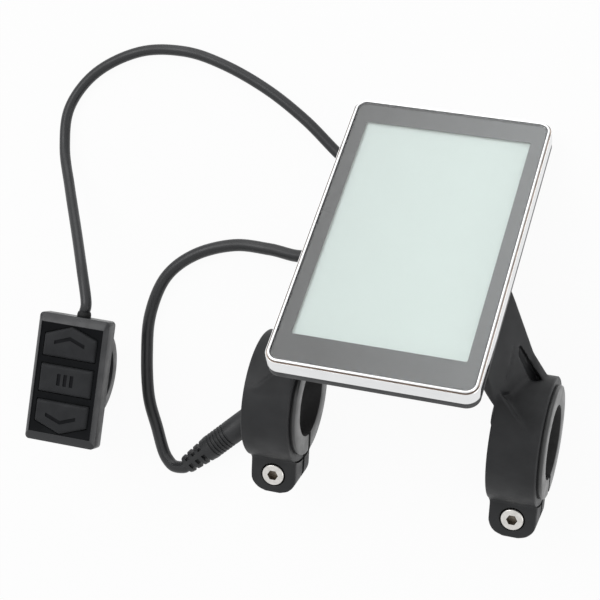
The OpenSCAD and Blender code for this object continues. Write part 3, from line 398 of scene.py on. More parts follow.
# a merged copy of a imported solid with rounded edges, adjusted or cut back first where asked
def dressed(node, name, finish, width, segments, adjust=None, rebate=None):
    obj = bpy.data.objects.new(name, nodes[node].data.copy())
    scene.collection.objects.link(obj)
    bm = bmesh.new()
    bm.from_mesh(obj.data)
    bmesh.ops.remove_doubles(bm, verts=bm.verts, dist=2e-6)
    if adjust:
        adjust(bm)
    bmesh.ops.dissolve_limit(bm, angle_limit=math.radians(0.6), verts=bm.verts, edges=bm.edges)
    bm.to_mesh(obj.data)
    bm.free()
    if rebate:
        cutAway(obj, rebate)
    step = obj.modifiers.new("edges", "BEVEL")
    step.width, step.segments, step.limit_method = width * 0.001, segments, "ANGLE"
    step.angle_limit = math.radians(30)
    bakeModifiers(obj)
    return hand(obj, Matrix.Identity(4), finish, (node,))


# Geometry Nodes helpers
def newTree(name, inputs):
    tree = bpy.data.node_groups.new(name, "GeometryNodeTree")
    tree.interface.new_socket("Geometry", in_out="INPUT", socket_type="NodeSocketGeometry")
    for label, kind in inputs:
        tree.interface.new_socket(label, in_out="INPUT", socket_type="NodeSocket" + kind)
    tree.interface.new_socket("Geometry", in_out="OUTPUT", socket_type="NodeSocketGeometry")
    return tree, tree.nodes.new("NodeGroupInput"), tree.nodes.new("NodeGroupOutput")


def runTree(obj, tree, values):
    step = obj.modifiers.new(tree.name, "NODES")
    step.node_group = tree
    for item in tree.interface.items_tree:
        if item.in_out == "INPUT" and item.name in values:
            step[item.identifier] = values[item.name]
    return bakeModifiers(obj)


def finishTree(tree, source, group, end):
    realize = tree.nodes.new("GeometryNodeRealizeInstances")
    paint = tree.nodes.new("GeometryNodeSetMaterial")
    tree.links.new(source, realize.inputs[0])
    tree.links.new(realize.outputs[0], paint.inputs["Geometry"])
    tree.links.new(group.outputs["Finish"], paint.inputs["Material"])
    tree.links.new(paint.outputs[0], end.inputs[0])


# leads: each one's route in millimetres, and how far from the middle it enters the box
leads = {
    "keypadLead": {"diameter": 3.4, "length": 253.2, "boxMouth": 5.2, "points": [
        (-100, 16.65, 13.2), (-100, 20.05, 13.2), (-104.5, 29.4, 9), (-111.2, 40.3, 1), (-119.6, 53, -9.3),
        (-125.7, 65, -15.8), (-126.3, 78, -17.3), (-118.8, 90.1, -17.6), (-105, 98.4, -17.7),
        (-90, 100.3, -17.7), (-76, 97.6, -17.7), (-60.8, 91.6, -17.7), (-47, 83.6, -17.7), (-33, 73.4, -17.3),
        (-19, 66.5, -15.2), (-6, 60.5, -8.5), (2.5, 54, -1), (4.8, 47, 5)]},
    "mainLead": {"diameter": 3.9, "length": 178.0, "boxMouth": -5.2, "plugEnd": 1.2, "points": [
        (-6, 46, 5), (-10.5, 52.5, -2.5), (-19, 54.2, -8.5), (-30, 47, -12), (-41, 42, -14),
        (-52.8, 42.4, -16.4), (-65, 41.9, -17.3), (-77.5, 37, -17.4), (-86.2, 28.5, -17.4),
        (-89.8, 16, -17.4), (-89.2, 3, -17.4), (-86.7, -10.3, -17.4), (-82.4, -20, -17.3),
        (-79.4, -26.4, -17), (-77.2, -29.2, -16.5), (-74.6, -30.8, -15.9)]},
}
boxMouths = {"y": 38.6, "z": -16.3}


def leadCurve(name, node, diameter, points):
    data = bpy.data.curves.new(name, "CURVE")
    data.dimensions = "3D"
    data.resolution_u, data.bevel_resolution = 10, 6
    data.bevel_depth, data.use_fill_caps = diameter / 2000, True
    line = data.splines.new("BEZIER")
    line.bezier_points.add(len(points) - 1)
    at = [Vector(p) / 1000 for p in points]
    for i, knot in enumerate(line.bezier_points):
        # a sixth of the way between the neighbours gives a smooth run through every point
        lean = (at[min(i + 1, len(at) - 1)] - at[max(i - 1, 0)]) / 6
        knot.co, knot.handle_left, knot.handle_right = at[i], at[i] - lean, at[i] + lean
    obj = bpy.data.objects.new(name, data)
    scene.collection.objects.link(obj)
    data.materials.append(finishes["lead"])
    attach(obj, "display")
    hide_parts(node)
    return obj


def boxMouth(x):
    return faceFrame @ Vector((x, boxMouths["y"], boxMouths["z"])) * 1000


faceUp = (faceFrame.to_3x3() @ Vector((0, 1, 0))).normalized()
plugDir = (plugFrame.to_3x3() @ Vector((0, 0, 1))).normalized()
plugTail = plugFrame @ Vector((0, 0, 0)) * 1000

spec = leads["keypadLead"]
mouth = boxMouth(spec["boxMouth"])
keypadLead = leadCurve("keypadLead", "keypad_lead", spec["diameter"],
                       spec["points"] + [mouth + faceUp * spec["diameter"], mouth])

spec = leads["mainLead"]
mouth = boxMouth(spec["boxMouth"])
mainLead = leadCurve("mainLead", "main_lead", spec["diameter"], [mouth, mouth + faceUp * spec["diameter"]]
                     + spec["points"] + [plugTail - plugDir * spec["plugEnd"], plugTail])
print("leads laid")


# plug on the main lead
plugSizes = {"radius": 4.0, "length": 27.0, "edge": 0.4, "tailRadius": 3.0, "tailLength": 10.0,
             "tailEdge": 0.7, "socketRadius": 3.0, "socketDepth": 7.0, "keyHalf": 0.6, "keyLow": 2.5,
             "keyHigh": 3.6,
             "rings": 6, "ringStart": 11.2, "ringPitch": 1.2, "ringWidth": 0.55, "ringDepth": 0.35,
             "ringEdge": 0.1, "ringRound": 0.08, "slots": 3, "slotStart": 1.6, "slotPitch": 2.6,
             "slotWidth": 1.4, "slotTurn": 154, "slotReach": 6, "core": 2.0, "round": 0.12, "nip": 0.2}


def plugShell(s):
    r, l, bend, nip = s["radius"], s["length"], s["round"], s["nip"]
    end, edge = s["tailRadius"], s["tailEdge"]
    profile = [(0, 0), (end - edge, 0), (end - nip, nip), (end, edge)]
    profile += [(r - bend, s["tailLength"] - 0.5), (r, s["tailLength"])]
    for i in range(s["rings"]):
        z = s["ringStart"] + s["ringPitch"] * i
        top, low, step, rim = z + s["ringWidth"], r - s["ringDepth"], s["ringEdge"], r - s["ringRound"]
        profile += [(r, z - step), (rim, z), (low, z + step), (low, top - step), (rim, top), (r, top + step)]
    socket, floor = s["socketRadius"], l - s["socketDepth"]
    profile += [(r, l - s["edge"]), (r - bend, l - bend), (r - s["edge"], l),
                (socket + nip, l), (socket, l - nip), (socket, floor), (0, floor)]
    obj = makeObject("plugShell", *turned(profile, 72))
    tidyShading(obj.data)
    # slots of the flexible tail, left and right of a spine
    for i in range(s["slots"]):
        z = s["slotStart"] + s["slotPitch"] * i
        for turn in (90, 270):
            arc = arcAngles(turn - s["slotTurn"] / 2, turn + s["slotTurn"] / 2, 14)
            ring = [(s["slotReach"] * math.cos(t), s["slotReach"] * math.sin(t)) for t in arc]
            ring += [(s["core"] * math.cos(t), s["core"] * math.sin(t)) for t in reversed(arc)]
            cutAway(obj, prism(ring, z, z + s["slotWidth"]))
    cutAway(obj, blockOf(-s["keyHalf"], s["keyHalf"], s["keyLow"], s["keyHigh"], floor, l + 1))
    return obj


plugShellPiece = hand(plugShell(plugSizes), plugFrame, "plug", ("plug_body",))
plugPins = ["plug_pin_%d" % k for k in range(1, 6)]
print("plug made")


# bright frame: one profile swept round the glass, with its four screw posts
frameSizes = {"width": 58.6, "length": 98.3, "corner": 2.85, "cornerSteps": 10,
              "postWide": 45.0, "postLong": 91.6, "postRadius": 2.1, "postTop": -1.6, "postLength": 5.4,
              "postSides": 32}
frameProfile = [(-1.85, -1.38), (-1.85, -2.45), (-0.1, -2.45), (-0.1, -4.1), (0.79, -4.1), (0.79, -4.75),
                (1.15, -4.75), (1.3, -4.6), (1.3, -0.6), (1.27, -0.5), (1.21, -0.44), (1.13, -0.45),
                (1.08, -0.52), (1.07, -0.75), (0.76, -0.75), (0.75, -0.14), (0.71, 0.03), (0.6, 0.12),
                (0.4, 0.15), (0.2, 0.13), (0.06, 0.06), (0.0, -0.06), (0.0, -1.38)]
grooveReach = {"inner": 0.74, "outer": 1.1, "low": -0.8, "high": -0.2}


def frameTree():
    tree, group, end = newTree("sweptFrame", [
        ("Width", "Float"), ("Length", "Float"), ("Corner", "Float"), ("Corner Steps", "Int"),
        ("Post Wide", "Float"), ("Post Long", "Float"), ("Post Radius", "Float"), ("Post Length", "Float"),
        ("Post Middle", "Float"), ("Post Sides", "Int"), ("Finish", "Material")])
    new, link = tree.nodes.new, tree.links.new
    path = new("GeometryNodeCurvePrimitiveQuadrilateral")
    fillet = new("GeometryNodeFilletCurve")
    fillet.mode = "POLY"
    link(path.outputs[0], fillet.inputs["Curve"])
    upright = new("GeometryNodeSetCurveNormal")
    upright.mode = "Z_UP"
    link(fillet.outputs[0], upright.inputs["Curve"])
    profile = new("GeometryNodeMeshToCurve")
    link(group.outputs["Geometry"], profile.inputs["Mesh"])
    sweep = new("GeometryNodeCurveToMesh")
    link(upright.outputs[0], sweep.inputs["Curve"])
    link(profile.outputs[0], sweep.inputs["Profile Curve"])
    grid = new("GeometryNodeMeshGrid")
    grid.inputs["Vertices X"].default_value = grid.inputs["Vertices Y"].default_value = 2
    lower = new("GeometryNodeTransform")
    offset = new("ShaderNodeCombineXYZ")
    link(grid.outputs[0], lower.inputs["Geometry"])
    link(offset.outputs[0], lower.inputs["Translation"])
    post = new("GeometryNodeMeshCylinder")
    for label, node, socket in (
            ("Width", path, "Width"), ("Length", path, "Height"), ("Corner", fillet, "Radius"),
            ("Corner Steps", fillet, "Count"), ("Post Wide", grid, "Size X"), ("Post Long", grid, "Size Y"),
            ("Post Middle", offset, "Z"), ("Post Sides", post, "Vertices"), ("Post Radius", post, "Radius"),
            ("Post Length", post, "Depth")):
        link(group.outputs[label], node.inputs[socket])
    place = new("GeometryNodeInstanceOnPoints")
    link(lower.outputs[0], place.inputs["Points"])
    link(post.outputs[0], place.inputs["Instance"])
    both = new("GeometryNodeJoinGeometry")
    link(place.outputs[0], both.inputs[0])
    link(sweep.outputs[0], both.inputs[0])
    finishTree(tree, both.outputs[0], group, end)
    return tree


def brightFrame(s):
    # the profile's x runs outwards and its y downwards when swept
    mesh = bpy.data.meshes.new("brightFrame")
    count = len(frameProfile)
    mesh.from_pydata([(x, -z, 0) for x, z in frameProfile], [(k, (k + 1) % count) for k in range(count)], [])
    obj = bpy.data.objects.new("brightFrame", mesh)
    scene.collection.objects.link(obj)
    runTree(obj, frameTree(), {
        "Width": s["width"], "Length": s["length"], "Corner": s["corner"], "Corner Steps": s["cornerSteps"],
        "Post Wide": s["postWide"], "Post Long": s["postLong"], "Post Radius": s["postRadius"],
        "Post Length": s["postLength"], "Post Middle": s["postTop"] - s["postLength"] / 2,
        "Post Sides": s["postSides"], "Finish": finishes["chrome"]})
    print("bright frame swept, half width", round(max(v.co.x for v in obj.data.vertices), 3))
    return obj


def inGroove(p):
    reach, corner = grooveReach, frameSizes["corner"]
    x, y = abs(p.x) - frameSizes["width"] / 2, abs(p.y) - frameSizes["length"] / 2
    out = max(x, y)
    if x > -corner and y > -corner:
        out = math.hypot(x + corner, y + corner) - corner
    return reach["inner"] < out < reach["outer"] and reach["low"] < p.z < reach["high"]


midGlass = faceFrame @ Matrix.Translation((0, pose["faceMiddle"], 0))
framePiece = hand(brightFrame(frameSizes), midGlass, "chrome", ("chrome_frame",), angle=38)
# painted shade: the groove and the lip's outer wall are coloured a darker brownish metal
paint(framePiece, midGlass, "groove", inGroove)

# glass, printed mask and screen
glassSizes = {"width": 58.5, "length": 98.2, "thick": 1.08, "corner": 2.8,
              "edge": [(0.28, 0), (0.12, -0.05), (0.03, -0.16), (0, -0.32)]}
maskSizes = {"width": 58.4, "length": 98.1, "corner": 2.8, "top": -1.11, "bottom": -1.34,
             "windowWidth": 50.4, "windowLength": 81.3, "windowMiddle": 50.35, "windowCorner": 0.5}
screenSizes = {"width": 53.4, "length": 84.3, "corner": 0.3, "lip": 0.6, "top": -1.37, "layer": -2.0,
               "bottom": -3.35}


# one ring of a piece that is centred on the glass, larger or smaller by grow on every side
def faceRing(s, z, grow=0.0, steps=10):
    width, length = s["width"] + 2 * grow, s["length"] + 2 * grow
    return roundedRect(width, length, s["corner"] + grow, z, pose["faceMiddle"], steps)


def maskWindow(m, z):
    return roundedRect(m["windowWidth"], m["windowLength"], m["windowCorner"], z, m["windowMiddle"], 8)


def maskRings(m):
    high, low = m["top"], m["bottom"]
    return [faceRing(m, high, steps=8), faceRing(m, low, steps=8), maskWindow(m, low), maskWindow(m, high)]


# the screen's tray with the reflective layer sunk in its lip
def screenRings(s):
    rings = []
    for z, lip in ((s["bottom"], 0), (s["top"], 0), (s["top"], s["lip"]), (s["layer"], s["lip"])):
        width, length = s["width"] - 2 * lip, s["length"] - 2 * lip
        rings.append(roundedRect(width, length, s["corner"], z, maskSizes["windowMiddle"], 4))
    return rings


glassEdge = glassSizes["edge"] + [(0, -glassSizes["thick"])]
glassRings = [faceRing(glassSizes, z, -inset) for inset, z in glassEdge]
hand(makeObject("frontGlass", *loft(glassRings)), faceFrame, "glass", ("front_glass",), angle=12)
hand(makeObject("printMask", *loft(maskRings(maskSizes), True)), faceFrame, "mask", ("print_mask",))
hand(makeObject("screenPanel", *loft(screenRings(screenSizes))), faceFrame, "screen", ("lcd_panel",))
print("screen stack made")

# cover and outlet glands; the bright frame's skirt laps over the cover's lip, which is cut back for it
coverRim = {"packed": -6, "lowered": -6.9, "near": 0.02}
skirtSizes = {"width": 60.14, "length": 99.86, "corner": 3.63, "top": -3.6, "bottom": -4.78, "spare": 3}


def lowerRim(bm):
    back = faceFrame.inverted()
    for v in bm.verts:
        p = back @ v.co
        if abs(p.z - coverRim["packed"]) < coverRim["near"]:
            v.co = faceFrame @ Vector((p.x, p.y, coverRim["lowered"]))


def skirtShape(s):
    high, low = s["top"], s["bottom"]
    rings = [faceRing(s, high), faceRing(s, low), faceRing(s, low, s["spare"]), faceRing(s, high, s["spare"])]
    return moved(loft(rings, True), faceFrame)


dressed("rear_cover", "rearCover", "cover", 0.3, 3, adjust=lowerRim, rebate=skirtShape(skirtSizes))
dressed("keypad_gland", "keypadGland", "gland", 0.12, 2)
dressed("main_gland", "mainGland", "gland", 0.12, 2)
print("cover made")

# clamp arms
clampApart = 74.5
armSizes = {"ringRadius": 19.4, "inX": 29.95, "outX": 44.55, "bore": 15.9, "lugWidth": 14.4, "lugCorner": 5.2,
            "lugFront": 8.0, "lugBack": 6.7, "lugTop": -12, "lugLow": -29.5, "screwDrop": 23.5,
            "headHole": 3.8, "headDeep": 3.7, "shankHole": 2.2, "nutFlats": 7.2, "nutDeep": 3.4, "split": 2.0,
            "past": 2, "boreEdge": 0.4, "holeEdge": 0.25, "rimEdge": 0.3, "rimSpare": 0.25, "ringSpare": 0.7,
            "voxel": 0.42, "soften": 7,
            "body": [(30.8, -13.9, 19.8), (27.9, -16.3, 24.6), (33.0, 3.0, 34.1), (29.0, 3.0, 44.6),
                     (37.6, 3.0, 25.2), (33.0, -3.0, 13.0), (41.0, 3.0, 13.0), (28.5, 3.0, 18.0),
                     (27.5, -3.0, 20.0), (22.0, 3.0, 41.0), (32.0, 7.0, 32.0), (36.5, 7.0, 23.2),
                     (28.0, 7.0, 18.0), (25.0, 7.0, 33.0)],
            "bodyTop": [(24.1, 20, -13.7), (25.6, 28, -13.7), (28.5, 42.3, -13.7), (22, 22, -15.5),
                        (22, 45, -15.0)],
            "pad": [(29.95, -18.2, 5.6), (41.9, -17.6, 8.9), (29.95, -15.25, 15.65), (30.8, -14.0, 19.8),
                    (31.0, -8.0, 8.0), (40.0, -8.0, 8.0), (30.5, -6.0, 15.0)],
            "heel": [(29.95, -15.25, 15.65), (30.8, -14.0, 19.8), (26.6, -14.0, 19.5), (25.2, -15.6, 23.0),
                     (27.9, -16.4, 24.6), (30.2, -6.0, 15.8), (27.2, 0.0, 20.0), (25.5, 0.0, 26.0)],
            "flare": [(42.1, 4.0, 18.8), (38.2, 3.0, 24.4), (36.6, 3.0, 27.0), (38.0, -1.0, 18.6),
                      (41.2, 0.0, 18.4), (36.0, 0.0, 23.5), (37.0, 7.0, 17.0), (41.2, 7.0, 17.3)],
            "seat": [(12, 11), (23, 11), (24, 20), (25.4, 28), (28.4, 42.3), (28.8, 46.4), (12, 46.4)],
            "seatLow": -16.9, "seatHigh": -13.5, "seatScrewX": 18, "seatScrewY": (17, 39),
            "seatHole": [(0, -18.5), (2.85, -18.5), (2.85, -15.1), (1.55, -15.1), (1.55, -13), (0, -13)],
            "outward": (0.861, -0.389, 0.328), "openSide": (0.265, -0.885, 0.384), "openReach": 8,
            "pocket": [(33.4, 0.1, 29.7), (33.9, -1.5, 26.4), (38.1, 0.3, 18.2), (40.1, 4.3, 17.3)],
            "pocketDeep": 0.7,
            "wedge": [(32.1, -0.7, 32.0), (31.7, -10.6, 21.0), (34.0, -7.0, 20.0)],
            "wedgeFloor": [(31.4, -8.3, 20.4), (31.6, -0.9, 31.0)]}


def hullOf(points):
    bm = bmesh.new()
    for p in points:
        bm.verts.new(p)
    bmesh.ops.convex_hull(bm, input=bm.verts)
    bmesh.ops.delete(bm, geom=[v for v in bm.verts if not v.link_faces], context="VERTS")
    bm.verts.index_update()
    shape = ([v.co.copy() for v in bm.verts], [tuple(v.index for v in f.verts) for f in bm.faces])
    bm.free()
    return shape


def armShape(a):
    r, start, end = a["ringRadius"], a["inX"] - a["ringSpare"], a["outX"] + a["ringSpare"]
    parts = [moved(turned([(0, start), (r, start), (r, end), (0, end)], 128), alongX)]
    # screw lugs
    mid, half = (a["inX"] + a["outX"]) / 2, a["lugWidth"] / 2
    corner, low = a["lugCorner"], a["lugLow"] + a["lugCorner"]
    quarter = arcAngles(0, 90, 8)
    outline = [(mid + half, a["lugTop"]), (mid - half, a["lugTop"])]
    outline += [(mid - half + corner - corner * math.cos(t), low - corner * math.sin(t)) for t in quarter]
    outline += [(mid + half - corner + corner * math.sin(t), low - corner * math.cos(t)) for t in quarter]
    lugVerts = [(x, y, z) for y in (-a["lugFront"], a["lugBack"]) for x, z in outline]
    parts.append((lugVerts, loft([outline, outline])[1]))
    # body up to the seat: one broad slanting face on the outer side, its lower edge a ridge
    for name in ("body", "pad", "heel", "flare"):
        raised = [faceInClamp @ Vector(p) for p in a.get(name + "Top", ())]
        parts.append(hullOf([Vector(p) for p in a[name]] + raised))
    parts.append(moved(prism(a["seat"], a["seatLow"], a["seatHigh"]), faceInClamp))
    return parts


# cutter for a hollow: its floor, and its corners moved well clear of the arm towards the front
def sunk(a, corners, floor):
    openSide = Vector(a["openSide"]) * a["openReach"]
    return hullOf([Vector(p) + openSide for p in corners] + [Vector(p) for p in floor])


def mergeArm(obj, a, soften=0):
    step = obj.modifiers.new("merge", "REMESH")
    step.mode, step.voxel_size = "VOXEL", a["voxel"]
    if soften:
        step = obj.modifiers.new("soften", "SMOOTH")
        step.factor, step.iterations = 0.5, soften
    bakeModifiers(obj)


def makeArm(a):
    obj = makeObject("rightArm", *joined(armShape(a)))
    mergeArm(obj, a)
    outward = Vector(a["outward"])
    cutAway(obj, sunk(a, a["pocket"], [Vector(p) - outward * a["pocketDeep"] for p in a["pocket"]]))
    cutAway(obj, sunk(a, a["wedge"], a["wedgeFloor"]))
    mergeArm(obj, a, a["soften"])
    # bore with bevelled mouths, then the ring's flat ends
    inX, outX, past = a["inX"], a["outX"], a["past"]
    bore, edge = a["bore"], a["boreEdge"]
    wide = bore + (edge + past)
    hole = [(0, inX - past), (wide, inX - past), (bore + edge, inX), (bore, inX + edge)]
    hole += [(bore, outX - edge), (bore + edge, outX), (wide, outX + past), (0, outX + past)]
    cutAway(obj, moved(turned(hole, 160), alongX))
    rim, edge, spare = a["ringRadius"], a["rimEdge"], a["rimSpare"]
    for x, out in ((inX, -1), (outX, 1)):
        end = [(0, x), (rim - edge, x), (rim + spare, x - out * (edge + spare)), (rim + spare, x + out * 3),
               (0, x + out * 3)]
        cutAway(obj, moved(turned(end, 160), alongX))
    # split, screw hole and nut pocket of the lugs
    cutAway(obj, blockOf(inX - past, outX + past, -a["split"] / 2, a["split"] / 2, a["lugLow"] - past, 0))
    at = Matrix.Translation(((inX + outX) / 2, 0, -a["screwDrop"])) @ alongY
    front, back, edge = -a["lugFront"], a["lugBack"], a["holeEdge"]
    head, shank, floor = a["headHole"], a["shankHole"], front + a["headDeep"]
    wide = head + (edge + past)
    hole = [(0, front - past), (wide, front - past), (head + edge, front), (head, front + edge)]
    hole += [(head, floor), (shank, floor), (shank, back + past), (0, back + past)]
    cutAway(obj, moved(turned(hole, 64), at))
    cutAway(obj, moved(hexagon(a["nutFlats"], back - a["nutDeep"], back + past), at))
    for y in a["seatScrewY"]:
        place = faceInClamp @ Matrix.Translation((a["seatScrewX"], y, 0))
        cutAway(obj, moved(turned(a["seatHole"], 40), place))
    return obj


rightArm = makeArm(armSizes)
leftArm = makeObject("leftArm", [(-v.co.x, v.co.y, v.co.z) for v in rightArm.data.vertices],
                     [tuple(reversed(p.vertices)) for p in rightArm.data.polygons])
hand(rightArm, clampFrame, "arm", ("right_arm",), angle=34)
hand(leftArm, clampFrame, "arm", ("left_arm",), angle=34)
print("arms made, faces", len(rightArm.data.polygons))

# reducers: one section swept round the bar, open at the split
reducerSizes = {"bore": 11.1, "sleeve": 15.85, "flange": 17.0, "inX": 29.95, "outX": 44.55, "endX": 46.05,
                "split": 2.0, "steps": 120, "boreEdge": 0.35, "lip": 0.45, "lipInner": 0.12, "lipOuter": 0.13,
                "flangeEdge": 0.15, "sleeveEdge": 0.3, "shade": 0.25}


def reducerSection(s):
    r, sleeve, flange, start, step, end = s["bore"], s["sleeve"], s["flange"], s["inX"], s["outX"], s["endX"]
    edge, lip, inner, outer = s["boreEdge"], s["lip"], s["lipInner"], s["lipOuter"]
    section = [(start, r + edge), (start + edge, r), (end - lip, r), (end - inner, r + inner)]
    section += [(end, r + lip), (end, flange - lip), (end - outer, flange - outer), (end - lip, flange)]
    section += [(step + s["flangeEdge"], flange), (step, flange - s["flangeEdge"]), (step, sleeve)]
    return section + [(start + s["sleeveEdge"], sleeve), (start, sleeve - s["sleeveEdge"])]


def makeReducer(name, s, shift):
    rings = []
    for k in range(s["steps"] + 1):
        ring = []
        for x, r in reducerSection(s):
            gap = math.asin(s["split"] / 2 / r)
            turn = gap + (2 * math.pi - 2 * gap) * k / s["steps"]
            ring.append((x + shift, r * math.sin(turn), -r * math.cos(turn)))
        rings.append(ring)
    return makeObject(name, *loft(rings))


# painted shade: the bore and its bevels are coloured with the darker seal rubber
def inShadedBore(p):
    return math.hypot(p.y, p.z) < reducerSizes["bore"] + reducerSizes["shade"]


for name, shift, node in (("rightReducer", 0, "right_reducer"), ("leftReducer", -clampApart, "left_reducer")):
    piece = hand(makeReducer(name, reducerSizes, shift), clampFrame, "reducer", (node,), angle=50)
    paint(piece, clampFrame, "seal", inShadedBore)
print("reducers made")


# screws: one turned screw with a hexagon socket, set out in rows
def rowsTree():
    tree, group, end = newTree("screwRows", [
        ("Columns", "Int"), ("Rows", "Int"), ("Wide", "Float"), ("Long", "Float"), ("Finish", "Material")])
    grid = tree.nodes.new("GeometryNodeMeshGrid")
    place = tree.nodes.new("GeometryNodeInstanceOnPoints")
    rows = {"Columns": "Vertices X", "Rows": "Vertices Y", "Wide": "Size X", "Long": "Size Y"}
    for label, socket in rows.items():
        tree.links.new(group.outputs[label], grid.inputs[socket])
    tree.links.new(grid.outputs[0], place.inputs["Points"])
    tree.links.new(group.outputs["Geometry"], place.inputs["Instance"])
    finishTree(tree, place.outputs[0], group, end)
    return tree


screwTree = rowsTree()
screwKinds = {
    "clampScrews": {"head": 3.5, "headHigh": 4.0, "shank": 1.95, "length": 14.6, "flats": 3.0, "deep": 2.0,
                    "round": 0.55, "columns": 2, "rows": 1, "wide": clampApart, "long": 0, "finish": "steel",
                    "place": clampFrame @ Matrix.Translation((0, -8.3, -armSizes["screwDrop"])) @ alongY,
                    "stands": ("left_clamp_screw", "right_clamp_screw")},
    "coverScrews": {"head": 1.6, "headHigh": 0.9, "shank": 0.9, "length": 6.7, "flats": 1.5, "deep": 0.5,
                    "round": 0.2, "columns": 2, "rows": 2, "wide": frameSizes["postWide"],
                    "long": frameSizes["postLong"], "finish": "darkSteel",
                    "place": midGlass @ Matrix.Translation((0, 0, -9.75)),
                    "stands": ("cover_screw_1", "cover_screw_2", "cover_screw_3", "cover_screw_4")},
    "seatScrews": {"head": 2.7, "headHigh": 1.75, "shank": 1.45, "length": 6.4, "flats": 2.5, "deep": 1.0,
                   "round": 0.3, "columns": 2, "rows": 2, "wide": 36.0, "long": 22.0, "finish": "darkSteel",
                   "place": faceFrame @ Matrix.Translation((0, 28.0, armSizes["seatLow"])),
                   "stands": ("seat_screw_1", "seat_screw_2", "seat_screw_3", "seat_screw_4")},
    "keypadClampScrew": {"head": 2.6, "headHigh": 2.4, "shank": 1.45, "length": 10.0, "flats": 2.5,
                         "deep": 1.2, "round": 0.3, "columns": 1, "rows": 1, "wide": 0, "long": 0,
                         "finish": "steel",
                         "place": padFrame @ Matrix.Translation((-3.4, -15.9, -29.1)),
                         "stands": ("pad_clamp_screw",)},
}


# distance from the nearest of two screws that stand the given width apart, about the middle
def fromScrew(along, apart):
    if not apart:
        return along
    past = (along + apart / 2) % apart
    return min(past, apart - past)


def makeScrews(name, s):
    head, high, bend, shank, length = s["head"], s["headHigh"], s["round"], s["shank"], s["length"]
    corner, edge, point = s["flats"] / math.sqrt(3), 0.12, 0.4
    profile = [(0, 0), (corner + 0.15, 0)]
    profile += [(head - bend + bend * math.sin(t), bend - bend * math.cos(t)) for t in arcAngles(0, 90, 4)]
    profile += [(head, high - edge), (head - edge, high), (shank, high), (shank, length - point)]
    profile += [(shank - point, length), (0, length)]
    obj = makeObject(name, *turned(profile, 48))
    tidyShading(obj.data)
    cutAway(obj, hexagon(s["flats"], -1, s["deep"]))
    runTree(obj, screwTree, {"Columns": s["columns"], "Rows": s["rows"], "Wide": float(s["wide"]),
                             "Long": float(s["long"]), "Finish": finishes[s["finish"]]})
    hand(obj, s["place"], s["finish"], s["stands"])

    def inSocket(p):
        off = math.hypot(fromScrew(p.x, s["wide"]), fromScrew(p.y, s["long"]))
        return 0.02 < p.z < s["deep"] + 0.05 and off < corner - 0.02

    # painted shade: the hex sockets are coloured a darker metal than the screw heads
    paint(obj, s["place"], "drive", inSocket)


for name, kind in screwKinds.items():
    makeScrews(name, kind)
for side in ("left", "right"):
    dressed(side + "_clamp_nut", side + "ClampNut", "steel", 0.3, 2)
dressed("pad_clamp_nut", "keypadClampNut", "steel", 0.25, 2)
print("screws and nuts made")

# keypad
padSizes = {"half": 8.6, "midHalf": 4.35, "gap": 2.4, "shoulder": 6.8, "tip": 3.1, "top": 0.7, "corner": 0.5,
            "sides": [(0, -0.3), (-0.16, 0.1), (-0.34, 0.42), (-0.62, 0.62)], "topIn": 1.0,
            "skirt": 0.9, "skirtLow": -2.45, "skirtTop": -1.65, "plungerTop": -2.0, "plungerLow": -3.65,
            "plunger": 1.6, "strokeHalf": 5.0, "strokeDrop": 1.8, "markWidth": 1.15, "markDeep": 0.3,
            "markMiddle": 1.7, "markReach": 1.9, "barHalf": 1.8, "barStep": 2.1, "barReach": 3}
padField = {"level": -0.3, "near": 0.06, "halfWide": 10.2, "halfLong": 17.1}


# outline grown by some amount, its corners rounded
def softOutline(corners, grow, radius, steps=5):
    count, out = len(corners), []
    pts = [Vector(c) for c in corners]
    grown = []
    for i in range(count):
        before = (pts[i] - pts[i - 1]).normalized()
        after = (pts[(i + 1) % count] - pts[i]).normalized()
        n0, n1 = Vector((before.y, -before.x)), Vector((after.y, -after.x))
        grown.append(pts[i] + (n0 + n1) / (1 + n0.dot(n1)) * grow)
    radius = max(radius + grow, 0.08)
    for i in range(count):
        before = (grown[i - 1] - grown[i]).normalized()
        after = (grown[(i + 1) % count] - grown[i]).normalized()
        half = before.angle(after) / 2
        reach = radius / math.tan(half)
        start, end = grown[i] + before * reach, grown[i] + after * reach
        centre = grown[i] + (before + after).normalized() * radius / math.sin(half)
        first, last = [math.atan2(p.y - centre.y, p.x - centre.x) for p in (start, end)]
        sweep = math.remainder(last - first, 2 * math.pi)
        turns = [first + sweep * k / steps for k in range(steps + 1)]
        out += [(centre.x + radius * math.cos(turn), centre.y + radius * math.sin(turn)) for turn in turns]
    return out


def mirrored(outline):
    return [(x, -y) for x, y in reversed(outline)]


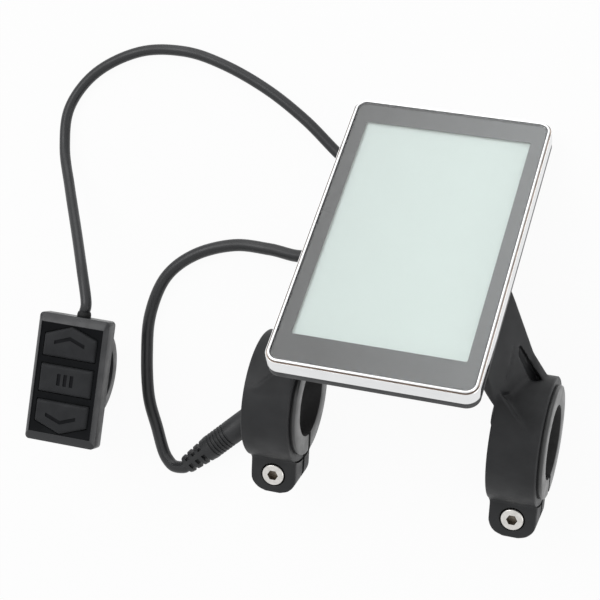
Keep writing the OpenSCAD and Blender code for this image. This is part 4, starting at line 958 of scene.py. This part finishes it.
# way is 1 for the upper button, -1 for the lower one and 0 for the plain middle one
def makeButton(name, s, way, node):
    half, low = s["half"], s["midHalf"] + s["gap"]
    shoulder = low + s["shoulder"]
    if way == 0:
        corners = [(-half, -s["midHalf"]), (half, -s["midHalf"]), (half, s["midHalf"]), (-half, s["midHalf"])]
    else:
        corners = [(-half, low), (half, low), (half, shoulder), (0, shoulder + s["tip"]), (-half, shoulder)]
    levels = [(s["skirt"], s["skirtLow"]), (s["skirt"], s["skirtTop"]), (0, s["skirtTop"])]
    levels += s["sides"] + [(-s["topIn"], s["top"])]
    outline = mirrored(corners) if way < 0 else corners
    rings = [[(x, y, z) for x, y in softOutline(outline, grow, s["corner"])] for grow, z in levels]
    obj = makeObject(name, *loft(rings))
    tidyShading(obj.data)
    foot, top, r = s["plungerLow"], s["plungerTop"], s["plunger"]
    plunger = turned([(0, foot), (r - 0.2, foot), (r, foot + 0.2), (r, top), (0, top)], 32)
    cutAway(obj, moved(plunger, Matrix.Translation((0, way * (low + s["shoulder"] / 2), 0))), "UNION")
    # the sunk mark: three short bars, or a stroke with its tip towards the button's
    above, floor, w = s["top"] + 0.5, s["top"] - s["markDeep"], s["markWidth"]
    if way == 0:
        for i in (-1, 0, 1):
            x = i * s["barStep"]
            cutAway(obj, prism([(x - w / 2, -s["barHalf"]), (x + w / 2, -s["barHalf"]),
                                (x + w / 2, s["barHalf"]), (x - w / 2, s["barHalf"])], floor, above))
    else:
        wide, end = s["strokeHalf"], shoulder - s["strokeDrop"]
        mark = [(-wide, end - w), (0, shoulder - w), (wide, end - w)]
        mark += [(wide, end), (0, shoulder), (-wide, end)]
        cutAway(obj, prism(mirrored(mark) if way < 0 else mark, floor, above))
    hand(obj, padFrame, "button", (node,), node)

    # painted shade: the sunk marks' floors and walls are coloured darker than the button
    def inShadedMark(p):
        if not floor - 0.05 < p.z < s["top"] - 0.04:
            return False
        if way == 0:
            return abs(p.x) < s["barReach"] and abs(p.y) < s["markReach"]
        off = abs(p.y) - shoulder + s["markMiddle"]
        return abs(p.x) < s["strokeHalf"] + 0.1 and abs(off) < s["markReach"]

    paint(obj, padFrame, "mark", inShadedMark)


# painted shade: the sunk field round the buttons is coloured darker than the shell
def inField(p):
    return (abs(p.z - padField["level"]) < padField["near"]
            and abs(p.x) < padField["halfWide"] and abs(p.y) < padField["halfLong"])


makeButton("buttonUp", padSizes, 1, "button_up")
makeButton("buttonMode", padSizes, 0, "button_mode")
makeButton("buttonDown", padSizes, -1, "button_down")
padCase = dressed("pad_case", "keypadCase", "padShell", 0.16, 2)
paint(padCase, padFrame, "padField", inField)
dressed("pad_back", "keypadBack", "padShell", 0.3, 3)
dressed("pad_gland", "keypadSleeve", "gland", 0.15, 2)
print("keypad made")

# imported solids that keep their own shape
kept = {"light_guide": "diffuser", "cover_seal": "seal", "main_board": "board", "driver_chip": "chip",
        "keypad_socket": "socket", "main_socket": "socket", "pad_board": "board", "dome_up": "dome",
        "dome_mode": "dome", "dome_down": "dome", "pad_case_screw_1": "darkSteel",
        "pad_case_screw_2": "darkSteel", "plug_insert": "insert"}
kept.update({pin: "contact" for pin in plugPins})
for node, finish in kept.items():
    nodes[node].data.materials.clear()
    nodes[node].data.materials.append(finishes[finish])
print("inner parts finished:", len(kept))

# floor, world and lamps
stageSizes = {"half": 3.0, "height": -0.01945, "paper": 0.88, "lift": 0.95}
ambient = {"fill": 0.46, "backdrop": 1.0}
lampAim = (-0.03, 0.03, 0)
lamps = [
    {"name": "key", "at": (-0.55, 0.45, 0.95), "size": 0.7, "power": 3.8},
    {"name": "side", "at": (1.0, -0.15, 0.22), "size": 0.6, "power": 1.8},
    {"name": "backSoft", "at": (-0.3, 1.1, 0.32), "size": 0.9, "power": 2.8},
]


# 1 where the camera sees a surface itself, in a reflection or through glass
def seenDirectly(tree):
    path = tree.nodes.new("ShaderNodeLightPath")
    last = path.outputs["Is Camera Ray"]
    for label in ("Is Glossy Ray", "Is Transmission Ray"):
        most = tree.nodes.new("ShaderNodeMath")
        most.operation = "MAXIMUM"
        tree.links.new(last, most.inputs[0])
        tree.links.new(path.outputs[label], most.inputs[1])
        last = most.outputs[0]
    return last


def makeFloor(s):
    corners = [(x * s["half"], y * s["half"], s["height"]) for x, y in ((-1, -1), (1, -1), (1, 1), (-1, 1))]
    floor = makeObject("floor", corners, [(0, 1, 2, 3)])
    mat, tree, shader = newMaterial("paperFloor")
    shader.inputs["Base Color"].default_value = (s["paper"],) * 3 + (1,)
    shader.inputs["Roughness"].default_value = 0.9
    shader.inputs["Specular IOR Level"].default_value = 0.1
    glow = tree.nodes.new("ShaderNodeEmission")
    share = tree.nodes.new("ShaderNodeMath")
    share.operation = "MULTIPLY"
    share.inputs[1].default_value = s["lift"]
    tree.links.new(seenDirectly(tree), share.inputs[0])
    blendShaders(tree, share.outputs[0], shader, glow, "Material Output")
    floor.data.materials.append(mat)


def makeWorld(a):
    world = bpy.data.worlds.new("studio")
    scene.world = world
    world.use_nodes = True
    tree = world.node_tree
    fill = tree.nodes["Background"]
    fill.inputs["Color"].default_value = (1, 1, 1, 1)
    fill.inputs["Strength"].default_value = a["fill"]
    white = tree.nodes.new("ShaderNodeBackground")
    white.inputs["Strength"].default_value = a["backdrop"]
    white.inputs["Color"].default_value = (1, 1, 1, 1)
    blendShaders(tree, seenDirectly(tree), fill, white, "World Output")


def makeLamp(l):
    data = bpy.data.lights.new(l["name"], "AREA")
    data.energy, data.size = l["power"], l["size"]
    lamp = bpy.data.objects.new(l["name"], data)
    scene.collection.objects.link(lamp)
    lamp.location = l["at"]
    lamp.rotation_euler = (Vector(lampAim) - Vector(l["at"])).to_track_quat("-Z", "Y").to_euler()


makeFloor(stageSizes)
makeWorld(ambient)
for lamp in lamps:
    makeLamp(lamp)
scene.view_settings.view_transform = "Standard"
print("stage and lamps set")
